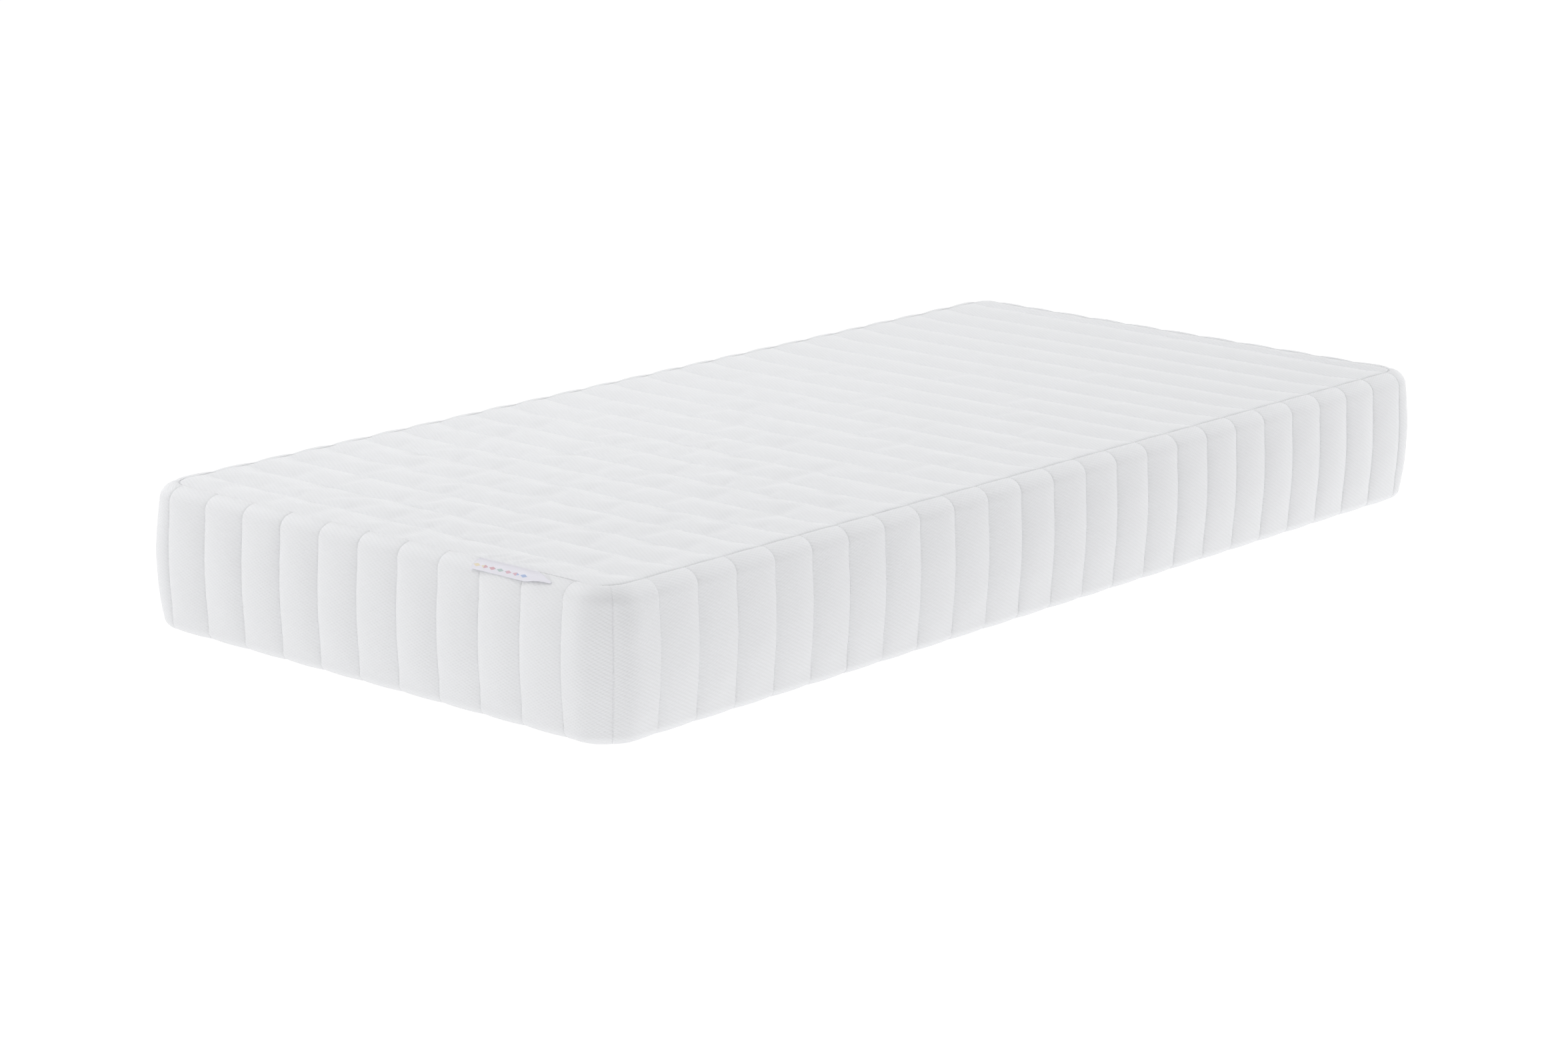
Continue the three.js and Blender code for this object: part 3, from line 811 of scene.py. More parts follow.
def border_shell(name, columns, rows, outer, inner):
    """A closed shell of the border between two offsets, with the zip window left open."""
    s, v = np.meshgrid(columns, rows)
    window = [int(np.argmin(np.abs(rows - section_length_at(z)))) for z in (WINDOW_LOW, WINDOW_HIGH)]
    window += [int(np.argmin(np.abs(columns - head_end(x)))) for x in (WINDOW_X, -WINDOW_X)]
    return two_sided(name, border_points(s, v, outer(s, v)), border_points(s, v, inner(s, v)),
                     np.stack([s, v], axis=-1), close_cols=True, hole=window, period=plan_length())


def face_thickness(body, hem=1.0):
    """The knit is thinner where a seam presses it, and thinner again at the hem of the window."""
    return (KNIT_AT_SEAM + (KNIT_THICK - KNIT_AT_SEAM) * body) * (0.45 + 0.55 * np.clip(hem, 0, 1))


class MATTRESS_OT_border(bpy.types.Operator):
    """Sew the quilted border: its knit face, wadding and scrim"""
    bl_idname = "mattress.border"
    bl_label = "Border"

    def execute(self, context):
        length = section_line()[1][-1]
        wall = section_length_at(sizes().base_roll)
        columns, rows = border_grid(20, np.concatenate([
            np.linspace(0, wall, 9)[:-1], np.linspace(wall, length - 44 * MM, 26)[:-1],
            length - 44 * MM * (1 - np.linspace(0, 1, 15)) ** 1.3]))

        def inside(s, v):
            hem = window_distance(s, v) / HEM_REACH
            return border_offset(s, v) - face_thickness(border_body(s), hem)

        face = border_shell("border_face_knit", columns, rows, border_offset, inside)
        finish_piece(face, material("knit"), "quilted_knit", "border_face")

        columns, rows = border_grid(10, np.linspace(wall + 1 * MM, length - 3 * MM, 24))

        def behind(s):
            return 1.5 * MM * (1 - border_body(s)) - KNIT_THICK - CLEAR - WADDING_THICK

        wadding = border_shell(
            "border_wadding_pad", columns, rows, lambda s, v: inside(s, v) - CLEAR,
            lambda s, v: behind(s))
        finish_piece(wadding, material("wadding"), "fibre_wadding", "border_wadding")
        scrim = border_shell(
            "border_backing_scrim", columns, rows, lambda s, v: behind(s) - CLEAR,
            lambda s, v: behind(s) - CLEAR - SCRIM_THICK)
        finish_piece(scrim, material("scrim"), "scrim", "border_backing")
        return {"FINISHED"}


# ---------------------------------------------------------------- panels


def top_start(x, y, share):
    """Height of the top panel before its cloth settles: crowned channels between sunk seams,
    drawn down to the seam round the edge."""
    size = sizes()
    inwards = edge_distance(x, y, TOP_SEAM_DEPTH)
    rim = rounded(inwards, 12 * MM)
    full = 0.4 + 0.6 * eased(inwards / (70 * MM))
    gap = np.minimum(share, 1 - share) * size.channel_pitch
    groove = GROOVE * np.exp(-(gap / GROOVE_REACH) ** 2)
    sunk = size.top_puff * (1 - crown(share, TOP_CROWN_EDGE)) * full + groove
    return HEIGHT + CROWN_PROUD - SEAM_SINK * (1 - rim) - sunk * rim + label_lip(x, y)


def label_lip(x, y):
    """How far the panel's edge rides up over the woven label and beside it towards the corner,
    with a few short wrinkles where the label is caught in the seam."""
    inwards = y - (TOP_SEAM_DEPTH - HALF_LENGTH)
    beside = eased((x - 170 * MM) / (30 * MM)) * eased((400 * MM - x) / (50 * MM))
    lip = 2.4 * MM * np.exp(-((inwards - 7 * MM) / (6 * MM)) ** 2) * beside
    caught = eased((x - 185 * MM) / (15 * MM)) * eased((275 * MM - x) / (30 * MM))
    wave = np.sin(2 * np.pi * (x - 0.35 * inwards) / (24 * MM))
    wrinkles = wave * np.exp(-((inwards - 18 * MM) / (13 * MM)) ** 2)
    return lip + 1.3 * MM * caught * wrinkles


def settle(points, held, slack):
    """Lets a grid of points settle as cloth: held points stay, the rest grows by its slack, a
    share of its size from 0 to the most there is, and puffs up under a light pressure. Returns the
    grid of moves."""
    rows, cols = points.shape[:2]
    cloth = add_mesh("settling_cloth", points.reshape(-1, 3), grid_faces(rows, cols))
    groups = {"held": held.ravel().astype(float), "taut": 1 - (slack / slack.max()).ravel()}
    for name, weights in groups.items():
        group = cloth.vertex_groups.new(name=name)
        levels = np.round(weights * WEIGHT_LEVELS) / WEIGHT_LEVELS
        for level in np.unique(levels[levels > 0]):
            group.add(np.flatnonzero(levels == level).tolist(), float(level), "REPLACE")
    modifier = cloth.modifiers.new("Cloth", "CLOTH")
    settings = modifier.settings
    settings.quality, settings.mass, settings.air_damping = 5, 0.3, 6
    settings.tension_stiffness = settings.compression_stiffness = 15
    settings.shear_stiffness, settings.bending_stiffness = 5, CLOTH_BENDING
    settings.vertex_group_mass, settings.pin_stiffness = "held", 1
    settings.vertex_group_shrink = "taut"
    settings.shrink_min, settings.shrink_max = -float(slack.max()), 0.0
    settings.use_pressure, settings.uniform_pressure_force = True, CLOTH_PRESSURE
    settings.effector_weights.gravity = 0
    modifier.collision_settings.use_collision = False
    modifier.point_cache.frame_end = CLOTH_FRAMES
    for frame_number in range(1, CLOTH_FRAMES + 1):
        bpy.context.scene.frame_set(frame_number)
    settled = cloth.evaluated_get(bpy.context.evaluated_depsgraph_get())
    moved = np.zeros(rows * cols * 3, np.float32)
    settled.data.vertices.foreach_get("co", moved)
    mesh = cloth.data
    bpy.data.objects.remove(cloth)
    bpy.data.meshes.remove(mesh)
    bpy.context.scene.frame_set(1)
    return moved.reshape(points.shape) - points


def creases(x, y, seams):
    """Height from -1 to 1 of the soft creases that the seams pull across the top's channels:
    a skewed wave along each channel, leaning and arched over towards the near long side as it
    crosses from seam to seam, at its own place in every channel and stronger in some patches."""
    rng = np.random.default_rng(sizes().seed + 1)
    channel, share = channel_share(seams, y)
    start = rng.uniform(0, 1, len(seams))[channel]
    wander = 0.35 * smooth_noise(rng, x, y, 0.2, 1)
    along = (x - CREASE_LEAN * share**1.6) / CREASE_PITCH + start + wander
    wave = np.sin(2 * np.pi * along) + 0.35 * np.sin(4 * np.pi * along + 0.8)
    patches = np.clip(0.55 + 0.6 * smooth_noise(rng, x, y * 1.5, 0.22, 1), 0.1, 1.2)
    return wave * patches * (4 * share * (1 - share)) ** 0.6


def top_settled(seams, columns):
    """Rows of a coarse grid of the top panel, and how far its cloth moves from top_start there. Its
    seams and edge are held, and the spare cloth is most at the foot end and least at the head."""
    rows = along_channels(seams, 10, 0.35)
    x, y = panel_plan(rows, TOP_SEAM_DEPTH, columns)
    flat = top_start(x, y, channel_share(seams, y)[1])
    rng = np.random.default_rng(sizes().seed + 2)
    start = np.stack([x, y, flat], axis=-1)
    held = np.isin(rows, seams)[:, None] | (np.abs(columns) == 1)[None, :]
    foot = eased((0.75 * HALF_LENGTH - y) / (1.5 * HALF_LENGTH))
    ripple = START_RIPPLE * (0.15 + 0.85 * foot) * creases(x, y, seams)
    start[..., 2] += np.where(held, 0, ripple * eased(edge_distance(x, y, TOP_SEAM_DEPTH) / (40 * MM)))
    slack = LEAST_SLACK + SLACK * foot * (0.75 + 0.25 * smooth_noise(rng, x, y, 0.3, 1).clip(-1, 1))
    moves = settle(start, held, slack)
    moves[..., 2] += start[..., 2] - flat
    return rows, moves


def top_points(seams, rows_per_channel, columns):
    """The top panel's outer face, settled, with its channel shares."""
    rows = along_channels(seams, rows_per_channel, 0.9)
    x, y = panel_plan(rows, TOP_SEAM_DEPTH, columns)
    share = channel_share(seams, y)[1]
    points = np.stack([x, y, top_start(x, y, share)], axis=-1)
    coarse_columns = np.linspace(-1, 1, COARSE_COLUMNS)
    coarse_rows, moves = top_settled(seams, coarse_columns)
    points += resample(moves, np.interp(rows, coarse_rows, np.arange(len(coarse_rows))),
                       np.interp(columns, coarse_columns, np.arange(COARSE_COLUMNS)))
    return points, share


def panel_layer(name, x, y, first, second, kind, slot, node):
    """A closed layer between two heights; the first is its outer face, away from the foam."""
    outer = np.stack([x, y, first], axis=-1)
    inner = np.stack([x, y, second], axis=-1)
    return finish_piece(two_sided(name, outer, inner, outer[..., :2]), material(kind), slot, node)


class MATTRESS_OT_top_panel(bpy.types.Operator):
    """Quilt the top panel: its knit face, wadding and scrim"""
    bl_idname = "mattress.top_panel"
    bl_label = "Top panel"

    def execute(self, context):
        seams = panel_seams(TOP_SEAM_DEPTH)
        columns = np.linspace(-1, 1, 241)
        outer, share = top_points(seams, 14, columns)
        body = crown(share)
        inner = outer - [0, 0, 1] * face_thickness(body)[..., None]
        face = two_sided("top_panel_face_knit", outer, inner, outer[..., :2])
        finish_piece(face, material("knit"), "quilted_knit", "top_panel_face")

        x, y = panel_plan(outer[::2, 0, 1], TOP_SEAM_DEPTH + SEAM_CLEAR, columns[::2])
        y *= 1 - SEAM_CLEAR / HALF_LENGTH
        under = inner[::2, ::2, 2] - CLEAR
        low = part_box("top_panel_wadding")[0].z + 1.6 * MM * (1 - body[::2, ::2])
        pad = panel_layer("top_panel_wadding_pad", x, y, under, low,
                          "wadding", "fibre_wadding", "top_panel_wadding")
        scrim = panel_layer("top_panel_backing_scrim", x, y, low - CLEAR, low - CLEAR - SCRIM_THICK,
                            "scrim", "scrim", "top_panel_backing")
        return {"FINISHED"}


class MATTRESS_OT_base_panel(bpy.types.Operator):
    """Quilt the base panel, pressed flat where it stands on the floor"""
    bl_idname = "mattress.base_panel"
    bl_label = "Base panel"

    def execute(self, context):
        seams = panel_seams(BASE_SEAM_DEPTH)
        columns = np.linspace(1, -1, 121)
        rows = along_channels(seams, 8, 0.5)
        x, y = panel_plan(rows, BASE_SEAM_DEPTH, columns)
        body = crown(channel_share(seams, y)[1])
        rim = rounded(edge_distance(x, y, BASE_SEAM_DEPTH), 16 * MM)
        lift = SEAM_SINK * np.clip(1 - 2 * body * rim, 0, 1)
        inner = lift + face_thickness(body * rim)
        face = panel_layer("base_panel_face_knit", x, y, lift, inner,
                           "knit", "quilted_knit", "base_panel_face")

        x, y = x * (1 - SEAM_CLEAR / HALF_WIDTH), y * (1 - SEAM_CLEAR / HALF_LENGTH)
        high = np.maximum(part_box("base_panel_wadding")[1].z, inner + CLEAR + 2 * MM)
        pad = panel_layer("base_panel_wadding_pad", x, y, inner + CLEAR, high,
                          "wadding", "fibre_wadding", "base_panel_wadding")
        scrim = panel_layer("base_panel_backing_scrim", x, y, high + CLEAR,
                            high + CLEAR + SCRIM_THICK, "scrim", "scrim", "base_panel_backing")
        return {"FINISHED"}


# ---------------------------------------------------------------- seams


def stitch_mesh(name, places, along, up, length, width):
    """One mesh of many stitches: each is a spindle of three square sections, thick in the middle,
    its ends let into the cloth. places, along and up are (n, 3) arrays."""
    across = np.cross(up, along)
    turn = np.arange(4) * np.pi / 2
    ring = np.stack([np.cos(turn), np.sin(turn)], axis=1)
    stations = [(-0.5, 0.45, -0.5), (0.0, 1.0, 0.15), (0.5, 0.45, -0.5)]
    parts = []
    for step, girth, rise in stations:
        side = across[:, None] * (ring[:, 0] * girth * width / 2)[None, :, None]
        lift = up[:, None] * ((ring[:, 1] * girth + rise) * width / 2)[None, :, None]
        parts.append((places + along * step * length)[:, None] + side + lift)
    points = np.concatenate(parts, axis=1).reshape(-1, 3)
    a = np.arange(4)
    b = (a + 1) % 4
    sides = [np.stack([a, a + 4, b + 4, b], 1) + 4 * k for k in (0, 1)]
    faces = np.concatenate(sides + [np.array([[0, 1, 2, 3], [11, 10, 9, 8]])])
    faces = faces[None] + 12 * np.arange(len(places))[:, None, None]
    return add_mesh(name, points, faces.reshape(-1, 4)[:, ::-1])


def along_line(points, normals, pitch):
    """Stitch places every pitch along a line of points, with the line's and the cloth's directions."""
    length = np.concatenate([[0], np.cumsum(np.linalg.norm(np.diff(points, axis=0), axis=1))])
    at = np.arange(0.5 * pitch, length[-1], pitch)
    place = np.stack([np.interp(at, length, column) for column in points.T], 1)
    direction = np.stack([np.interp(at, length, c) for c in np.gradient(points, length, axis=0).T], 1)
    up = np.stack([np.interp(at, length, column) for column in normals.T], 1)
    return place, direction / np.linalg.norm(direction, axis=1, keepdims=True), up


def stitch_lines(name, lines, pitch, length, width):
    """One piece of stitches along (points, normals) lines."""
    runs = [along_line(*line, pitch) for line in lines]
    places, along, up = (np.concatenate(parts) for parts in zip(*runs))
    piece = stitch_mesh(name, places, along, up, length, width)
    return finish_piece(piece, material("thread"), "quilted_knit")


def border_normals(s, v):
    """Outward unit normals of the border's section line carried round the plan."""
    _, _, out_depth, out_z = section_at(v)
    x0, y0 = plan_points(s, 0.0)
    x1, y1 = plan_points(s, 1.0)
    out_z = np.broadcast_to(out_z, x0.shape)
    return np.stack([(x1 - x0) * out_depth, (y1 - y0) * out_depth, out_z], -1)


class MATTRESS_OT_seams(bpy.types.Operator):
    """Stitch the quilting and perimeter seams, and bind the allowances inside"""
    bl_idname = "mattress.seams"
    bl_label = "Seams"

    def execute(self, context):
        length = section_line()[1][-1]
        lines = []
        for s in border_seams()[:-1]:
            v = np.linspace(5 * MM, length - 2 * MM, 80)
            v = v[window_distance(s, v) > HEM_REACH + 1 * MM]
            s = np.full_like(v, s)
            for part in split_runs(v):
                where = s[part], v[part]
                points = border_points(*where, border_offset(*where) + 0.2 * MM)
                lines.append((points, border_normals(*where)))
        stitch_lines("border_quilting_stitches", lines, **QUILTING_STITCH)

        lines = []
        for y in panel_seams(TOP_SEAM_DEPTH)[1:-1]:
            across = np.linspace(-1, 1, 60)
            x, y = (line[0] for line in panel_plan(np.array([y]), TOP_SEAM_DEPTH + 4 * MM, across))
            points = np.stack([x, y, top_start(x, y, np.zeros_like(x)) + 0.2 * MM], axis=-1)
            lines.append((points, np.broadcast_to([0.0, 0.0, 1.0], points.shape)))
        stitch_lines("top_quilting_stitches", lines, **QUILTING_STITCH)

        s = border_seams()[0] + np.linspace(0, plan_length(), 1200)
        for name, v in (("top_perimeter_stitches", length - 1.2 * MM),
                        ("base_perimeter_stitches", 1.2 * MM)):
            at = np.full_like(s, v)
            points = border_points(s, at, border_offset(s, at) + 0.15 * MM)
            stitch_lines(name, [(points, border_normals(s, at))], **PERIMETER_STITCH)

        inside = SEAM_SINK + KNIT_THICK + CLEAR
        top = HEIGHT - inside
        for node, depth, low, high in (("top_seam_tape", TOP_SEAM_DEPTH, top - 6.5 * MM, top),
                                       ("base_seam_tape", BASE_SEAM_DEPTH, inside, inside + 4 * MM)):
            bind = self.binding(node + "_binding", depth, low, high)
            finish_piece(bind, material("tape"), "tape_cloth", node)
        low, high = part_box("border_join_tape")
        join = rounded_box("border_join_strip", low, high, 0.3 * MM)
        finish_piece(join, material("tape"), "tape_cloth", "border_join_tape")
        return {"FINISHED"}

    def binding(self, name, depth, low, high):
        """A folded tape on edge: a flat oval section carried round the plan."""
        turn = np.linspace(0, 2 * np.pi, 13)[:-1]
        reach, tall = 0.8 * MM, (high - low) / 2
        bulge = np.abs(np.cos(turn)) ** 0.5 * np.sign(np.cos(turn))
        rise = np.abs(np.sin(turn)) ** 0.5 * np.sign(np.sin(turn))
        s, k = np.meshgrid(np.linspace(0, plan_length(), 241)[:-1], np.arange(12))
        x, y = plan_points(s, depth - reach * bulge[k])
        points = np.stack([x, y, (low + high) / 2 + tall * rise[k]], axis=-1)
        points = np.concatenate([points, points[:1]])
        rows, cols = points.shape[:2]
        quads = grid_faces(rows, cols, close_cols=True)
        quads = np.where(quads >= (rows - 1) * cols, quads - (rows - 1) * cols, quads)
        return add_mesh(name, points[:-1].reshape(-1, 3), quads)


def split_runs(values):
    """Slices of an array of rising values where they run on without a gap."""
    breaks = np.flatnonzero(np.diff(values) > 1.5 * np.min(np.diff(values))) + 1
    ends = np.concatenate([[0], breaks, [len(values)]])
    return [slice(a, b) for a, b in zip(ends[:-1], ends[1:]) if b - a > 3]


# ---------------------------------------------------------------- labels


def hanging_ribbon(name, left, right, drop, offset_of, kind, columns, rows, edges):
    """A ribbon that leaves the top seam and lies over the roll: columns from left to right arc
    length, rows down the section. edges gives its two edges, as shares of its drop, at each share
    of its length, and offset_of how far it stands out at a section length and a share."""
    length = section_line()[1][-1]
    share, down = np.meshgrid(np.linspace(0, 1, columns), np.linspace(0, 1, rows)[::-1])
    inner_edge, outer_edge = edges(share)
    reach = drop * (inner_edge + (outer_edge - inner_edge) * down)
    s = left + (right - left) * share
    v = length - 0.8 * MM - reach
    lift = offset_of(v, share)
    cloth = np.stack([(right - left) * share, DASHES_DROP - drop * down], axis=-1)
    outer, inner = border_points(s, v, lift), border_points(s, v, lift - RIBBON_THICK)
    piece = two_sided(name, outer, inner, cloth)
    return finish_piece(piece, material(kind), "label_satin")


def over_channels(v):
    """Just clear of the highest channel at section length v."""
    return border_level(v) + 1.0 * MM


class MATTRESS_OT_labels(bpy.types.Operator):
    """Sew in the woven ribbon at the foot end and the blank care label at the head end"""
    bl_idname = "mattress.labels"
    bl_label = "Labels"

    def execute(self, context):
        low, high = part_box("woven_label")
        left, right = foot_end(low.x), foot_end(high.x)
        fold = DASHES_LENGTH / (high.x - low.x)

        def edges(share):
            rest = np.clip((share - fold) / (1 - fold), 0, 1) ** 0.7
            return 0.72 * rest, 1 - 0.22 * rest

        def lift(v, share):
            rest = np.clip((share - fold) / (1 - fold), 0, 1)
            return over_channels(v) + 2.0 * MM * np.sin(np.pi * rest) ** 2

        ribbon = hanging_ribbon("woven_label_ribbon", left, right, WOVEN_DROP, lift, "woven_marks",
                                columns=100, rows=24, edges=edges)
        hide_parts("woven_label")

        low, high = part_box("care_label")
        left, right = head_end(high.x), head_end(low.x)

        def curl(v, share):
            down = (section_line()[1][-1] - v - CARE_LEAD - 1 * MM) / CARE_LENGTH
            wave = 2.5 * MM + 0.8 * MM * np.sin(2 * np.pi * share)
            return over_channels(v) + wave * down**2

        drop = CARE_LEAD + CARE_LENGTH
        care = hanging_ribbon("care_label_ribbon", left, right, drop, curl, "satin",
                              columns=40, rows=40, edges=lambda share: (CARE_LEAD / drop, 1))
        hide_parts("care_label")
        return {"FINISHED"}


# ---------------------------------------------------------------- foam and its sock


def ring_solid_parts(profile):
    """Points, quads and two caps of a profile of (depth, z), listed upwards, carried round the plan."""
    steps = 180
    s, k = np.meshgrid(np.linspace(0, plan_length(), steps + 1)[:-1], np.arange(len(profile)))
    x, y = plan_points(s, profile[k, 0])
    points = np.stack([x, y, profile[k, 1]], axis=-1).reshape(-1, 3)
    quads = grid_faces(len(profile), steps, close_cols=True)
    first = np.arange(steps)
    return points, quads, first[None, ::-1], first[None] + (len(profile) - 1) * steps


def block_profile(depth, low, high, lower, upper):
    """The wall of a block from low to high, its lower and upper edges rounded by these radii."""
    turn = np.linspace(0, np.pi / 2, 7)
    near, far = 1 - np.cos(turn), 1 - np.sin(turn)
    return np.concatenate([np.stack([depth + lower * far, low + lower * near], 1),
                           np.stack([depth + upper * near, high - upper * far], 1)])


class MATTRESS_OT_foam(bpy.types.Operator):
    """Cut the three foam layers"""
    bl_idname = "mattress.foam"
    bl_label = "Foam"

    def execute(self, context):
        for node, slot, lower, upper in (
                ("base_foam_core", "base_foam", FOAM_ROUND, FOAM_CUT),
                ("transition_foam_layer", "transition_foam", FOAM_CUT, FOAM_CUT),
                ("memory_foam_layer", "memory_foam", FOAM_CUT, FOAM_ROUND)):
            low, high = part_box(node)
            profile = block_profile(HALF_WIDTH - high.x, low.z, high.z, lower, upper)
            block = add_mesh(node.replace("_layer", "") + "_block", *ring_solid_parts(profile))
            finish_piece(block, material(slot), slot, node)
        return {"FINISHED"}


class MATTRESS_OT_sock(bpy.types.Operator):
    """Draw the knitted sock over the foam and close it at the head end"""
    bl_idname = "mattress.sock"
    bl_label = "Inner sock"

    def execute(self, context):
        low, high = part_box("inner_sock")
        depth = HALF_WIDTH - high.x
        outer, inner = (
            ring_solid_parts(block_profile(depth + inset, low.z + inset, high.z - inset,
                                           SOCK_ROUND - inset, SOCK_ROUND - inset))
            for inset in (0, SOCK_THICK))
        count = len(outer[0])
        faces = [outer[1], inner[1][:, ::-1] + count, outer[2], outer[3],
                 inner[2][:, ::-1] + count, inner[3][:, ::-1] + count]
        sock = add_mesh("inner_sock_knit", np.concatenate([outer[0], inner[0]]), *faces)
        finish_piece(sock, material("sock"), "sock_knit", "inner_sock")

        low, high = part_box("inner_sock_closing_seam")
        s = np.linspace(head_end(high.x), head_end(low.x), 301)
        across = np.linspace(-1, 1, 7)
        s, k = np.meshgrid(s, across)
        z = (low.z + high.z) / 2 + (2.6 * MM + 0.3 * MM * np.sin(s / (2.5 * MM))) * k
        bulge = (1.1 * MM + 0.25 * MM * np.sin(s / (1.2 * MM) + 3 * k)) * np.sqrt(1 - 0.9 * k**2)
        front = np.stack([*plan_points(s, depth - 0.2 * MM - bulge), z], axis=-1)
        back = np.stack([*plan_points(s, depth - 0.1 * MM), z], axis=-1)
        seam = two_sided("inner_sock_overlock_seam", front, back, np.stack([s, z], axis=-1))
        finish_piece(seam, material("tape"), "tape_cloth", "inner_sock_closing_seam")
        return {"FINISHED"}


# ---------------------------------------------------------------- zip


def rounded_box(name, low, high, radius):
    """A box whose edges are rounded by a bevel modifier."""
    x0, y0, z0 = low
    x1, y1, z1 = high
    points = np.array([[x, y, z] for z in (z0, z1) for y in (y0, y1) for x in (x0, x1)])
    faces = np.array([[0, 2, 3, 1], [4, 5, 7, 6], [0, 1, 5, 4],
                      [2, 6, 7, 3], [0, 4, 6, 2], [1, 3, 7, 5]])
    piece = add_mesh(name, points, faces)
    bevel = piece.modifiers.new("Rounded edges", "BEVEL")
    bevel.width, bevel.segments = radius, 3
    bevel.use_clamp_overlap = True
    return piece


def extruded(name, outline, start, step):
    """A solid between two copies of a closed outline: an (n, 3) array, anticlockwise seen from where
    it starts, and the same moved by a step."""
    count = len(outline)
    a = np.arange(count)
    b = (a + 1) % count
    walls = np.stack([a, a + count, b + count, b], 1)
    points = np.concatenate([outline + start, outline + start + step])
    return add_mesh(name, points, walls, a[None], (a + count)[None, ::-1])


def plate(name, outline, y0, y1):
    """A plate between y0 and y1 from a closed outline of (x, z) points."""
    flat = np.stack([outline[:, 0], np.zeros(len(outline)), outline[:, 1]], 1)
    return extruded(name, flat, np.array([0, y0, 0]), np.array([0, y1 - y0, 0]))


def superellipse(centre, half, power):
    """A rounded rectangle: cosine and sine, each to a small power, times the half sizes."""
    turn = np.linspace(0, 2 * np.pi, 33)[:-1]
    c, s = np.cos(turn), np.sin(turn)
    return np.stack([centre[0] + half[0] * np.sign(c) * np.abs(c) ** power,
                     centre[1] + half[1] * np.sign(s) * np.abs(s) ** power], 1)


def joined(name, *pieces):
    """Several closed pieces as one mesh."""
    depsgraph = bpy.context.evaluated_depsgraph_get()
    bpy.context.view_layer.update()
    meshes = [bpy.data.meshes.new_from_object(p.evaluated_get(depsgraph)) for p in pieces]
    points, groups, start = [], [], 0
    for mesh in meshes:
        co = np.zeros(len(mesh.vertices) * 3, np.float32)
        mesh.vertices.foreach_get("co", co)
        loops = np.zeros(len(mesh.loops), np.int32)
        mesh.loops.foreach_get("vertex_index", loops)
        first = np.zeros(len(mesh.polygons), np.int32)
        mesh.polygons.foreach_get("loop_start", first)
        groups += [part[None] + start for part in np.split(loops, first[1:])]
        points.append(co.reshape(-1, 3))
        start += len(mesh.vertices)
    for piece in pieces:
        bpy.data.objects.remove(piece)
    return add_mesh(name, np.concatenate(points), *groups, smooth=False)


